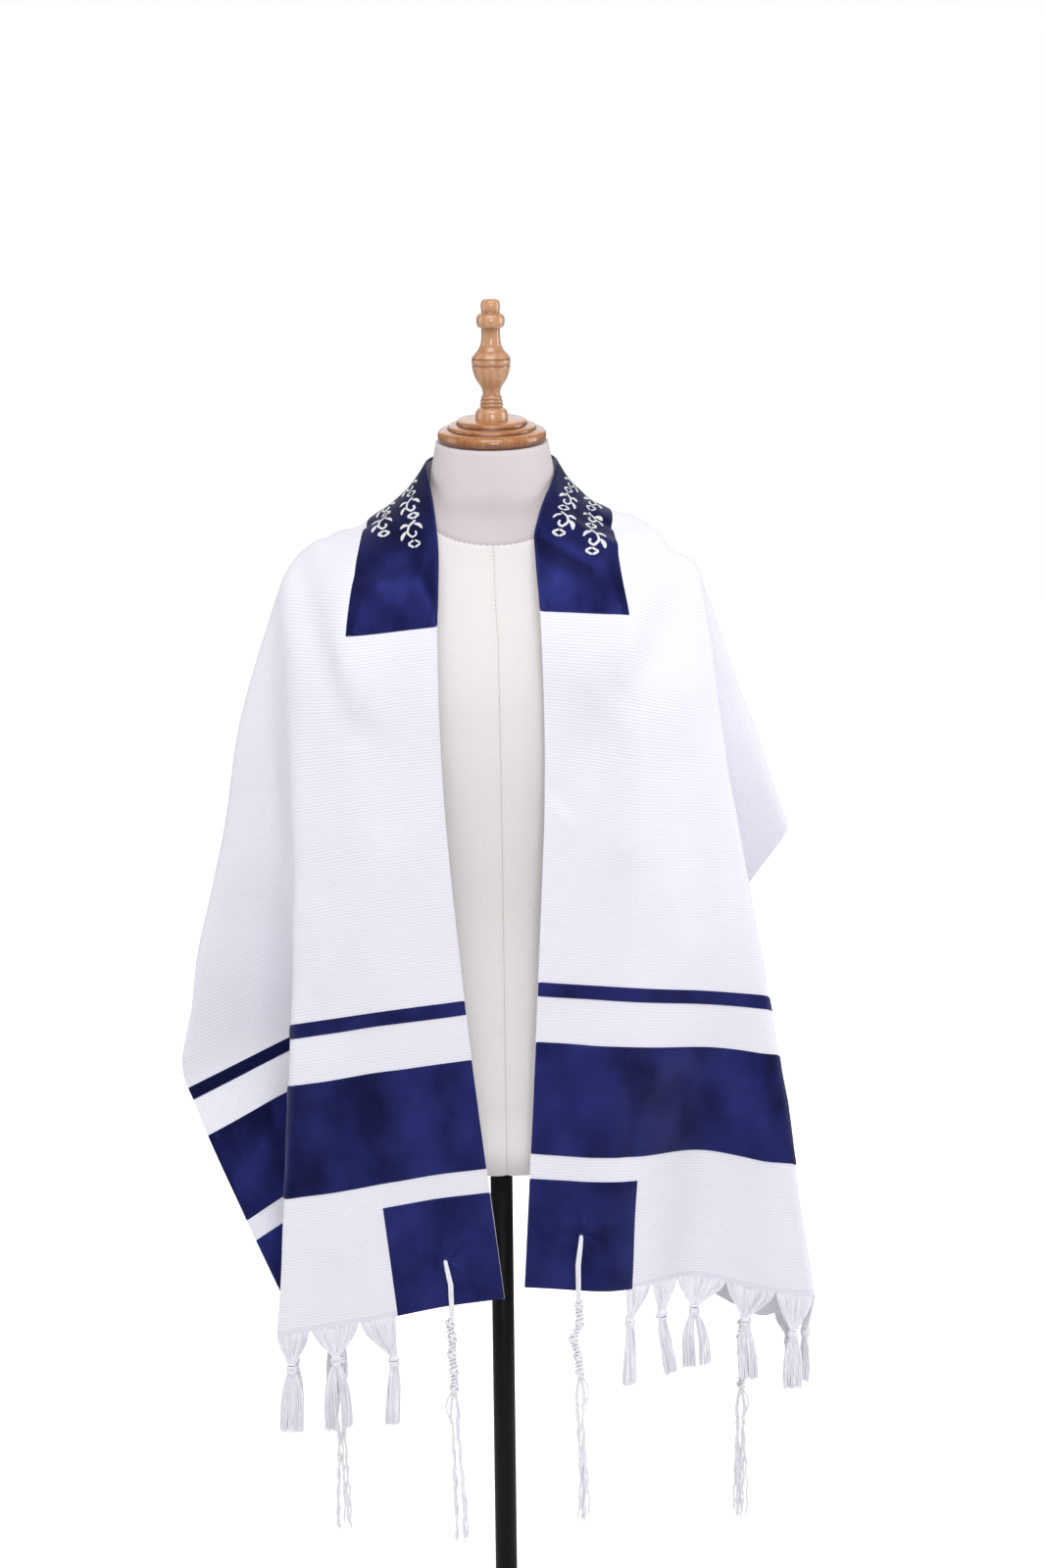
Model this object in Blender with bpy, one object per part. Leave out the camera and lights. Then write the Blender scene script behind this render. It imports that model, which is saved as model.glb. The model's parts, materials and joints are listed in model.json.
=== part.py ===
"""A tallit prayer shawl draped on a limbless dress form with its stand.

Metres, +Z up, the front faces -Y, and the origin is the centre of the stand's underside.
"Left" and "right" are the viewer's, so the left half of the shawl lies at -X.
"""

import functools
import math
from collections import namedtuple

import bmesh
import bpy
import numpy as np

for old in list(bpy.data.objects):
    bpy.data.objects.remove(old, do_unlink=True)

# ---------------------------------------------------------------- driving dimensions

# The cut of the shawl. s runs from a fringed end (0) to the nape (HALF_LENGTH) on each half,
# and v runs from the neck edge (0) to the outer edge (WIDTH).
WIDTH = 0.500
HALF_LENGTH = 1.020
CLOTH_WALL = 0.0015
TRIM_WALL = 0.0010
SEAM_GAP = 0.0003

PATCH_WIDE = 0.110
PATCH_TALL = 0.118
WIDE_BAND = (0.144, 0.262)
THIN_STRIPE = (0.310, 0.325)
NECKBAND_WIDE = 0.087
NECKBAND_START = 0.700

# Where each corner's cord passes through its patch, from the patch's corner
HOLE_V = 0.055
HOLE_S = {"left": 0.050, "right": 0.060}

SHOULDER_S = 0.765  # where the folds of each half meet, on the tip of the shoulder
FOLD_ROUND_V = 0.011  # how far a fold is rounded across the shawl, near its neck edge
FOLD_ROUND_BACK = 0.022  # and near its outer edge, where the hidden folds turn wider
FOLD_ROUND_S = 0.018  # and along the shawl

# The form and its stand
CAP_TIERS = (0.0532, 0.0430, 0.0342)
POLE_RADIUS = 0.0118
BASE_RADIUS = 0.190
BASE_THICK = 0.018
FORM_BOTTOM = 0.683
NECK_TOP = 1.4180

COLOURS = {
    "white_cloth": (0.88, 0.87, 0.92),
    "navy_satin": (0.013, 0.016, 0.13),
    "fringe_yarn": (0.86, 0.86, 0.90),
    "form_linen": (0.72, 0.68, 0.64),
    "pale_wood": (0.60, 0.32, 0.13),
    "dark_wood": (0.30, 0.11, 0.035),
    "black_metal": (0.010, 0.010, 0.012),
}

# ---------------------------------------------------------------- how the shawl hangs

# Each guide line runs along the shawl: where it lies in the cut (s, v) and in the world, with
# "out" the distance from the middle plane, so that one table form serves both halves.
Guide = namedtuple("Guide", "s v out y z")

LEFT_HALF = {
    "neck_edge": [
        Guide(0.000, 0.000, -0.003, -0.140, 0.563),
        Guide(0.327, 0.000, 0.033, -0.140, 0.887),
        Guide(0.560, 0.000, 0.0515, -0.136, 1.119),
        Guide(0.700, 0.000, 0.054, -0.126, 1.260),
        Guide(0.784, 0.000, 0.053, -0.080, 1.333),
        Guide(0.844, 0.000, 0.0600, -0.042, 1.374),
        Guide(0.899, 0.000, 0.0660, 0.000, 1.396),
        Guide(0.960, 0.000, 0.050, 0.055, 1.400),
        Guide(1.020, 0.000, 0.000, 0.082, 1.398),
    ],
    "neckband_edge": [
        Guide(0.000, 0.087, 0.083, -0.150, 0.552),
        Guide(0.327, 0.087, 0.118, -0.139, 0.875),
        Guide(0.560, 0.087, 0.136, -0.130, 1.109),
        Guide(0.700, 0.087, 0.1427, -0.116, 1.248),
        Guide(0.765, 0.087, 0.135, -0.075, 1.308),
        Guide(0.800, 0.087, 0.130, -0.043, 1.330),
        Guide(0.840, 0.087, 0.127, -0.005, 1.341),
        Guide(0.870, 0.087, 0.121, 0.030, 1.343),
        Guide(0.910, 0.087, 0.096, 0.072, 1.338),
        Guide(0.960, 0.087, 0.055, 0.102, 1.330),
        Guide(1.020, 0.087, 0.000, 0.112, 1.310),
    ],
    "front_fold": [
        Guide(0.000, 0.240, 0.2355, -0.150, 0.528),
        Guide(0.327, 0.180, 0.2097, -0.106, 0.851),
        Guide(0.560, 0.157, 0.2005, -0.094, 1.092),
        Guide(0.700, 0.160, 0.204, -0.053, 1.240),
        Guide(0.765, 0.175, 0.2105, -0.003, 1.299),
        Guide(0.840, 0.175, 0.173, 0.052, 1.294),
        Guide(0.899, 0.175, 0.131, 0.101, 1.273),
        Guide(0.960, 0.175, 0.068, 0.126, 1.250),
        Guide(1.020, 0.175, 0.000, 0.139, 1.228),
    ],
    "inside_fold": [
        Guide(0.000, 0.370, 0.117, -0.095, 0.560),
        Guide(0.143, 0.368, 0.174, 0.003, 0.655),
        Guide(0.327, 0.360, 0.200, 0.045, 0.795),
        Guide(0.560, 0.250, 0.222, -0.010, 1.055),
        Guide(0.700, 0.200, 0.222, -0.020, 1.220),
        Guide(0.765, 0.176, 0.2107, -0.003, 1.298),
    ],
    "side_fold": [
        Guide(0.000, 0.505, 0.213, -0.100, 0.505),
        Guide(0.118, 0.505, 0.259, -0.070, 0.597),
        Guide(0.143, 0.505, 0.269, -0.055, 0.612),
        Guide(0.262, 0.505, 0.316, 0.020, 0.678),
        Guide(0.327, 0.510, 0.345, 0.062, 0.715),
        Guide(0.400, 0.458, 0.333, 0.050, 0.828),
        Guide(0.560, 0.339, 0.294, 0.030, 1.000),
        Guide(0.700, 0.237, 0.248, 0.000, 1.195),
        Guide(0.765, 0.177, 0.211, -0.003, 1.297),
    ],
    "outer_edge": [
        Guide(0.327, 0.525, 0.347, 0.062, 0.713),
        Guide(0.360, 0.500, 0.338, 0.060, 0.765),
        Guide(0.450, 0.500, 0.297, 0.085, 0.850),
        Guide(0.600, 0.500, 0.215, 0.150, 0.945),
        Guide(0.765, 0.500, 0.195, 0.020, 0.965),
        Guide(0.840, 0.500, 0.150, 0.075, 0.955),
        Guide(0.899, 0.500, 0.105, 0.115, 0.945),
        Guide(0.960, 0.500, 0.050, 0.136, 0.925),
        Guide(1.020, 0.500, -0.010, 0.143, 0.905),
    ],
}

RIGHT_HALF = {
    "neck_edge": [
        Guide(0.000, 0.000, 0.0232, -0.140, 0.5756),
        Guide(0.330, 0.000, 0.0401, -0.140, 0.9085),
        Guide(0.560, 0.000, 0.0486, -0.136, 1.134),
        Guide(0.700, 0.000, 0.0453, -0.126, 1.274),
        Guide(0.784, 0.000, 0.0420, -0.078, 1.345),
        Guide(0.835, 0.000, 0.0520, -0.046, 1.372),
        Guide(0.895, 0.000, 0.0650, 0.000, 1.395),
        Guide(0.960, 0.000, 0.050, 0.055, 1.400),
        Guide(1.020, 0.000, 0.000, 0.082, 1.398),
    ],
    "neckband_edge": [
        Guide(0.000, 0.087, 0.110, -0.136, 0.567),
        Guide(0.330, 0.087, 0.126, -0.130, 0.898),
        Guide(0.560, 0.087, 0.134, -0.125, 1.119),
        Guide(0.700, 0.087, 0.131, -0.116, 1.267),
        Guide(0.745, 0.087, 0.124, -0.086, 1.305),
        Guide(0.790, 0.087, 0.120, -0.050, 1.329),
        Guide(0.830, 0.087, 0.118, -0.010, 1.343),
        Guide(0.870, 0.087, 0.114, 0.030, 1.348),
        Guide(0.910, 0.087, 0.091, 0.070, 1.340),
        Guide(0.960, 0.087, 0.052, 0.102, 1.330),
        Guide(1.020, 0.087, 0.000, 0.112, 1.310),
    ],
    "front_fold": [
        Guide(0.000, 0.305, 0.3315, -0.090, 0.540),
        Guide(0.330, 0.240, 0.2765, -0.080, 0.870),
        Guide(0.560, 0.200, 0.2370, -0.065, 1.096),
        Guide(0.690, 0.188, 0.2180, -0.045, 1.221),
        Guide(0.765, 0.185, 0.2080, -0.003, 1.296),
        Guide(0.840, 0.180, 0.170, 0.052, 1.294),
        Guide(0.895, 0.175, 0.129, 0.101, 1.272),
        Guide(0.960, 0.175, 0.066, 0.126, 1.250),
        Guide(1.020, 0.175, 0.000, 0.139, 1.228),
    ],
    "inside_fold": [
        Guide(0.000, 0.420, 0.275, 0.000, 0.472),
        Guide(0.200, 0.415, 0.255, 0.045, 0.665),
        Guide(0.300, 0.410, 0.245, 0.055, 0.755),
        Guide(0.380, 0.400, 0.235, 0.060, 0.835),
        Guide(0.450, 0.380, 0.215, 0.055, 0.905),
        Guide(0.570, 0.322, 0.190, 0.035, 1.045),
        Guide(0.645, 0.270, 0.204, 0.012, 1.140),
        Guide(0.765, 0.186, 0.2082, -0.003, 1.295),
    ],
    "side_fold": [
        Guide(0.000, 0.505, 0.212, 0.020, 0.502),
        Guide(0.200, 0.505, 0.195, 0.080, 0.660),
        Guide(0.300, 0.505, 0.200, 0.120, 0.745),
        Guide(0.380, 0.505, 0.210, 0.145, 0.810),
        Guide(0.450, 0.505, 0.238, 0.150, 0.860),
        Guide(0.570, 0.508, 0.277, 0.090, 0.940),
        Guide(0.645, 0.505, 0.307, 0.060, 1.000),
        Guide(0.700, 0.355, 0.262, 0.030, 1.141),
        Guide(0.765, 0.187, 0.2085, -0.003, 1.294),
    ],
    "outer_edge": [
        Guide(0.570, 0.530, 0.280, 0.090, 0.933),
        Guide(0.645, 0.515, 0.308, 0.062, 0.998),
        Guide(0.700, 0.500, 0.290, 0.098, 1.016),
        Guide(0.765, 0.500, 0.247, 0.138, 1.030),
        Guide(0.840, 0.500, 0.190, 0.165, 1.005),
        Guide(0.895, 0.500, 0.140, 0.170, 0.975),
        Guide(0.960, 0.500, 0.080, 0.155, 0.940),
        Guide(1.020, 0.500, 0.010, 0.143, 0.905),
    ],
}

HALVES = {"left": LEFT_HALF, "right": RIGHT_HALF}

# Soft waves pushed back into the drape: on which half, round which v, how wide, how deep at the
# hem, and up to which s they run out.
Wave = namedtuple("Wave", "half v wide deep runs_out")
WAVES = [
    Wave("right", 0.175, 0.055, 0.042, 0.42),
    Wave("left", 0.060, 0.050, 0.008, 0.40),
]


@functools.cache
def spline(side, name):
    """A guide line's knots in s, its values (v, out, y, z) there, and their slopes."""
    table = np.array(HALVES[side][name], float)
    knots, values = table[:, 0], table[:, 1:]
    gaps = np.diff(knots)
    slopes = np.diff(values, axis=0) / gaps[:, None]
    tangents = np.empty_like(values)
    tangents[0], tangents[-1] = slopes[0], slopes[-1]
    before, after = gaps[:-1, None], gaps[1:, None]
    tangents[1:-1] = (slopes[:-1] * after + slopes[1:] * before) / (before + after)
    return knots, values, tangents


def along(side, name, s):
    """A guide line's (v, out, y, z) at s: a smooth cubic through its rows, straight past its ends."""
    knots, values, tangents = spline(side, name)
    if s <= knots[0]:
        return values[0] + tangents[0] * (s - knots[0])
    if s >= knots[-1]:
        return values[-1] + tangents[-1] * (s - knots[-1])
    i = int(np.searchsorted(knots, s)) - 1
    gap = knots[i + 1] - knots[i]
    t = (s - knots[i]) / gap
    return (
        (2 * t**3 - 3 * t**2 + 1) * values[i]
        + (t**3 - 2 * t**2 + t) * gap * tangents[i]
        + (3 * t**2 - 2 * t**3) * values[i + 1]
        + (t**3 - t**2) * gap * tangents[i + 1]
    )


@functools.cache
def section(side, s):
    """The corners (v, out, y, z) of the shawl's section at s, from the neck edge outwards."""
    names = ["neck_edge", "neckband_edge", "front_fold"]
    if s < SHOULDER_S:
        names += ["inside_fold", "side_fold"]
    if s >= HALVES[side]["outer_edge"][0].s:
        names.append("outer_edge")
    corners = [along(side, names[0], s)]
    for name in names[1:]:
        corner = along(side, name, s)
        if corner[0] > corners[-1][0] + 1e-4:
            corners.append(corner)
    return np.array(corners)


def straight_row(side, s, vs):
    """Points of the unrounded section at s for each v."""
    corners = section(side, s)
    first, last = corners[1] - corners[0], corners[-1] - corners[-2]
    points = np.empty((len(vs), 3))
    for axis in range(3):
        column = corners[:, axis + 1]
        points[:, axis] = np.interp(vs, corners[:, 0], column)
        low, high = vs < corners[0, 0], vs > corners[-1, 0]
        points[low, axis] = column[0] + first[axis + 1] / first[0] * (vs[low] - corners[0, 0])
        points[high, axis] = column[-1] + last[axis + 1] / last[0] * (vs[high] - corners[-1, 0])
    return points


def draped_row(side, s, vs):
    """Points of the hanging shawl at s, with its folds rounded and its waves pushed in."""
    other = "right" if side == "left" else "left"
    total = np.zeros((len(vs), 3))
    weights = 0.0
    wider = np.interp(vs, (0.27, 0.34), (FOLD_ROUND_V, FOLD_ROUND_BACK))
    reach = np.minimum(wider, np.minimum(vs, WIDTH - vs) + 0.0005)
    for step_s in (-1.0, -0.5, 0.0, 0.5, 1.0):
        at = round(s + step_s * FOLD_ROUND_S, 6)
        past_nape = at > HALF_LENGTH
        weight = 1.0 - 0.5 * abs(step_s)
        for step_v in (-1.0, -0.6, -0.2, 0.2, 0.6, 1.0):
            where = vs + step_v * reach
            if past_nape:
                row = straight_row(other, 2 * HALF_LENGTH - at, where) * (-1.0, 1.0, 1.0)
            else:
                row = straight_row(side, at, where)
            total += weight * row
            weights += weight
    points = total / weights
    points[:, 0] *= -1.0 if side == "left" else 1.0
    for wave in WAVES:
        if wave.half == side and s < wave.runs_out:
            fade = 0.5 + 0.5 * math.cos(math.pi * max(s, 0.0) / wave.runs_out)
            points[:, 1] += wave.deep * fade * np.exp(-(((vs - wave.v) / wave.wide) ** 2))
    return points


def draped(us, vs):
    """A grid of points. u runs over the whole shawl, from the left end to the right end."""
    rows = []
    for u in us:
        if u <= HALF_LENGTH:
            rows.append(draped_row("left", u, vs))
        else:
            rows.append(draped_row("right", 2 * HALF_LENGTH - u, vs))
    return np.array(rows)


def outward(us, vs):
    """Unit normals of the outer face, from points a little to each side."""
    step = 0.004
    along_u = draped(us + step, vs) - draped(us - step, vs)
    along_v = draped(us, vs + step) - draped(us, vs - step)
    normals = np.cross(along_u, along_v)
    return normals / np.linalg.norm(normals, axis=2, keepdims=True)


# ---------------------------------------------------------------- Blender helpers


def material(name):
    found = bpy.data.materials.get(name)
    if found:
        return found
    made = bpy.data.materials.new(name)
    made.use_nodes = True
    shader = made.node_tree.nodes["Principled BSDF"]
    shader.inputs["Base Color"].default_value = (*COLOURS[name], 1.0)
    roughness = {"navy_satin": 0.35, "pale_wood": 0.3, "dark_wood": 0.25, "black_metal": 0.4}
    shader.inputs["Roughness"].default_value = roughness.get(name, 0.85)
    return made


def add_object(name, mesh, material_name, parent=None):
    made = bpy.data.objects.new(name, mesh)
    mesh.materials.append(material(material_name))
    bpy.context.scene.collection.objects.link(made)
    made.parent = parent
    return made


def add_bmesh(name, shape, material_name, parent=None, sharp=math.radians(40)):
    bmesh.ops.recalc_face_normals(shape, faces=shape.faces)
    mesh = bpy.data.meshes.new(name)
    shape.to_mesh(mesh)
    shape.free()
    mesh.shade_smooth()
    mesh.set_sharp_from_angle(angle=sharp)
    return add_object(name, mesh, material_name, parent)


def add_empty(name, parent=None):
    made = bpy.data.objects.new(name, None)
    made.empty_display_size = 0.1
    bpy.context.scene.collection.objects.link(made)
    made.parent = parent
    return made


def sheet_wall(name, us, vs, inner, outer, material_name, parent):
    """A closed wall between two offsets of the draped shawl, over the grid us by vs.

    A fold shortens the diagonal that crosses it, so each cell is split along its longer one.
    """
    us, vs = np.array(us), np.array(vs)
    points, normals = draped(us, vs), outward(us, vs)
    falling = np.linalg.norm(points[1:, 1:] - points[:-1, :-1], axis=2)
    rising = np.linalg.norm(points[1:, :-1] - points[:-1, 1:], axis=2)
    shape = bmesh.new()
    layers = []
    for offset in (outer, inner):
        grid = points + normals * offset
        layers.append([[shape.verts.new(p) for p in row] for row in grid])
    top, bottom = layers
    last_u, last_v = len(us) - 1, len(vs) - 1
    for i in range(last_u):
        for j in range(last_v):
            for layer, turn in ((top, 1), (bottom, -1)):
                cell = [layer[i][j], layer[i + 1][j], layer[i + 1][j + 1], layer[i][j + 1]]
                if rising[i, j] > falling[i, j]:
                    cell = cell[1:] + cell[:1]
                a, b, c, d = cell
                shape.faces.new((a, b, c)[::turn])
                shape.faces.new((a, c, d)[::turn])
    border = [(i, 0) for i in range(last_u)] + [(last_u, j) for j in range(last_v)]
    border += [(i, last_v) for i in range(last_u, 0, -1)] + [(0, j) for j in range(last_v, 0, -1)]
    for (i, j), (k, m) in zip(border, border[1:] + border[:1]):
        shape.faces.new((top[i][j], bottom[i][j], bottom[k][m], top[k][m]))
    return add_bmesh(name, shape, material_name, parent)


# ---------------------------------------------------------------- the shawl

# Grid lines of the cut. Every trim edge is one of them, so that a trim's facets lie
# parallel to the cloth's below it.
V_LINES = [0.0, HOLE_V, NECKBAND_WIDE, PATCH_WIDE, 0.130, 0.148, 0.162, 0.176, 0.190, 0.206, 0.223]
V_LINES += [0.240, 0.257, 0.275, 0.294, 0.314, 0.334, 0.350, 0.364, 0.377, WIDTH - PATCH_WIDE]
V_LINES += [0.403, 0.418, WIDTH - HOLE_V, 0.470, WIDTH]
S_LINES = [0.0, 0.059, PATCH_TALL, WIDE_BAND[0], 0.203, WIDE_BAND[1], *THIN_STRIPE, 0.375, 0.425]
S_LINES += [0.475, 0.525, 0.575, 0.620, 0.660, NECKBAND_START, 0.730, 0.755, 0.775, 0.800]
S_LINES += [0.828, 0.856, 0.885, 0.915, 0.950, 0.985, HALF_LENGTH]


def u_lines(side, low, high):
    """The grid lines of one half that lie from low to high, as u."""
    inside = [s for s in S_LINES if low - 1e-6 <= s <= high + 1e-6]
    return inside if side == "left" else [2 * HALF_LENGTH - s for s in reversed(inside)]


def v_lines(low, high):
    return [v for v in V_LINES if low - 1e-6 <= v <= high + 1e-6]


def build_cloth(parent):
    us = u_lines("left", 0.0, HALF_LENGTH) + u_lines("right", 0.0, HALF_LENGTH)[1:]
    sheet_wall("shawl_cloth", us, V_LINES, -CLOTH_WALL, 0.0, "white_cloth", parent)


def build_trims(parent):
    """Satin pieces, each on the cloth's outer face with a seam's gap under it."""
    trim = (SEAM_GAP, SEAM_GAP + TRIM_WALL)
    for side in ("left", "right"):
        for name, span in (("thin_stripe", THIN_STRIPE), ("wide_band", WIDE_BAND)):
            us = u_lines(side, *span)
            sheet_wall(f"{name}_{side}", us, V_LINES, *trim, "navy_satin", parent)
        us = u_lines(side, 0.0, PATCH_TALL)
        places = {"front": (0.0, PATCH_WIDE), "rear": (WIDTH - PATCH_WIDE, WIDTH)}
        for place, span in places.items():
            name = f"corner_patch_{side}_{place}"
            sheet_wall(name, us, v_lines(*span), *trim, "navy_satin", parent)
    us = u_lines("left", NECKBAND_START, HALF_LENGTH)
    us += u_lines("right", NECKBAND_START, HALF_LENGTH)[1:]
    sheet_wall("neckband", us, v_lines(0.0, NECKBAND_WIDE), *trim, "navy_satin", parent)


# ---------------------------------------------------------------- fringe and tzitzit

# Tassels along each end: where the root lies (v), how far the knot hangs below the hem, the
# length of the loose tail, and how far the tail leans sideways.
Tassel = namedtuple("Tassel", "v knot tail lean")
TASSELS = {
    "left": [
        Tassel(0.128, 0.040, 0.072, -0.003),
        Tassel(0.171, 0.034, 0.074, 0.004),
        Tassel(0.213, 0.036, 0.066, 0.000),
        Tassel(0.262, 0.036, 0.064, 0.002),
        Tassel(0.297, 0.038, 0.066, -0.002),
        Tassel(0.332, 0.036, 0.062, 0.003),
    ],
    "right": [
        Tassel(0.128, 0.040, 0.066, 0.002),
        Tassel(0.163, 0.037, 0.064, 0.005),
        Tassel(0.200, 0.034, 0.062, 0.004),
        Tassel(0.243, 0.036, 0.064, 0.002),
        Tassel(0.288, 0.038, 0.060, -0.002),
        Tassel(0.330, 0.036, 0.064, 0.003),
        Tassel(0.371, 0.038, 0.066, -0.003),
    ],
}
STRIP_TALL = 0.006
HEM_GAP = 0.0010
STRIP_SHORT = {"left": 0.038, "right": 0.010}  # the strip stops this far before the rear patch
ROOT_SPREAD = 0.033
FAN_LOCKS = 4
TAIL_LOCKS = 4
KNOT_RADIUS = 0.0048
KNOT_TALL = 0.0075

CORD_RADIUS = 0.0022
WRAP_RADIUS = 0.0042
STRING_RADIUS = 0.0011
WRAP_LONG = 0.090
STRINGS = 8
STRING_LONG = 0.150


def ring(shape, centre, across, deep, radius, sides):
    """A ring of points round centre, in the plane of two unit directions."""
    made = []
    for k in range(sides):
        turn = 2 * math.pi * (k + 0.5) / sides
        wide = across * (radius[0] * math.cos(turn))
        made.append(shape.verts.new(centre + wide + deep * (radius[1] * math.sin(turn))))
    return made


def loft(shape, rings):
    """Closes a stack of equal rings with side faces and two end caps."""
    for low, high in zip(rings, rings[1:]):
        for k in range(len(low)):
            n = (k + 1) % len(low)
            shape.faces.new((low[k], low[n], high[n], high[k]))
    shape.faces.new(list(reversed(rings[0])))
    shape.faces.new(rings[-1])


def lock(shape, path, widths, across, deep, thick):
    """A flat lock of yarn with four sides, along a short path."""
    rings = []
    for point, width in zip(path, widths):
        rings.append(ring(shape, point, across, deep, (width * 0.7, thick * 0.7), 4))
    loft(shape, rings)


def tassel_frame(side, v):
    """The hem point of a tassel, the unit direction along the hem, and the outward normal."""
    u = 0.0 if side == "left" else 2 * HALF_LENGTH
    us, vs = np.array([u]), np.array([v])
    point = draped(us, vs)[0, 0] - outward(us, vs)[0, 0] * (CLOTH_WALL / 2)
    step = np.array([0.01])
    hem = draped(us, vs + step)[0, 0] - draped(us, vs - step)[0, 0]
    hem[2] = 0.0
    return point, hem / np.linalg.norm(hem), outward(us, vs)[0, 0]


def hem_point(side, v, below):
    """A point in the middle of the cloth's wall, below the hem by a length of cloth."""
    s = -below
    u = s if side == "left" else 2 * HALF_LENGTH - s
    us, vs = np.array([u]), np.array([v])
    if side == "left":
        return draped(us, vs)[0, 0] - outward(us, vs)[0, 0] * (CLOTH_WALL / 2)
    points = draped_row("right", s, vs)[0]
    return points - outward(np.array([2 * HALF_LENGTH]), vs)[0, 0] * (CLOTH_WALL / 2)


def build_tassel(shape, side, tassel):
    _, across, _ = tassel_frame(side, tassel.v)
    deep = np.array([-across[1], across[0], 0.0])
    down = np.array([0.0, 0.0, -1.0])
    root = hem_point(side, tassel.v, HEM_GAP + STRIP_TALL / 2)
    knot = root + down * tassel.knot
    half = ROOT_SPREAD / 2
    for k in range(FAN_LOCKS):
        share = (k + 0.5) / FAN_LOCKS * 2 - 1
        # each lock has its own depth and thickness, so that no two have faces in one plane
        layer = deep * (0.0005 if k % 2 else -0.0003)
        start = hem_point(side, tassel.v + share * half, HEM_GAP + STRIP_TALL / 2) + layer
        end = knot + across * (share * KNOT_RADIUS * 0.45) + layer
        lock(shape, [start, end], [0.0074, 0.0022], across, deep, 0.0019 + 0.0003 * k)
    rings = []
    for level, size in ((1.0, 0.45), (0.45, 1.0), (-0.45, 1.0), (-1.0, 0.5)):
        centre = knot - down * (level * KNOT_TALL)
        radius = (KNOT_RADIUS * size, KNOT_RADIUS * 0.8 * size)
        rings.append(ring(shape, centre, across, deep, radius, 6))
    loft(shape, list(reversed(rings)))
    for k in range(TAIL_LOCKS):
        share = (k + 0.5) / TAIL_LOCKS * 2 - 1
        layer = deep * (0.0007 if k % 2 else -0.0006)
        start = knot + down * KNOT_TALL * 0.5 + across * (share * 0.0026) + layer
        middle = knot + down * (tassel.tail * 0.5) + across * (share * 0.0052 + tassel.lean * 0.4)
        short = tassel.tail - 0.0025 * (k % 3)
        end = knot + down * short + across * (share * 0.0084 + tassel.lean) + layer * 1.5
        thick = 0.0027 + 0.00025 * k
        lock(shape, [start, middle + layer, end], [0.0026, 0.0032, 0.0036], across, deep, thick)


def build_fringe(side, parent):
    """One strip along the hem between the patches, with its tassels fused to it."""
    low = PATCH_WIDE + SEAM_GAP
    high = WIDTH - PATCH_WIDE - STRIP_SHORT[side]
    vs = np.array([low, *[v for v in V_LINES if low + 0.004 < v < high - 0.004], high])
    strip = bmesh.new()
    rings = []
    for v in vs:
        _, across, _ = tassel_frame(side, v)
        out = outward(np.array([0.0 if side == "left" else 2 * HALF_LENGTH]), np.array([v]))[0, 0]
        top, foot = hem_point(side, v, HEM_GAP), hem_point(side, v, HEM_GAP + STRIP_TALL)
        corners = [top + out * 0.0009, top - out * 0.0009, foot - out * 0.0009, foot + out * 0.0009]
        rings.append([strip.verts.new(corner) for corner in corners])
    loft(strip, rings)
    guide = add_bmesh(f"fringe_{side}_tassels", strip, "fringe_yarn", parent)
    shape = bmesh.new()
    for tassel in TASSELS[side]:
        build_tassel(shape, side, tassel)
    fringe = add_bmesh(f"fringe_{side}", shape, "fringe_yarn", parent)
    guide.hide_render = True
    guide.display_type = "WIRE"
    join = fringe.modifiers.new("Join strip", "BOOLEAN")
    join.operation = "UNION"
    join.solver = "EXACT"
    join.use_self = True
    join.object = guide


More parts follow.
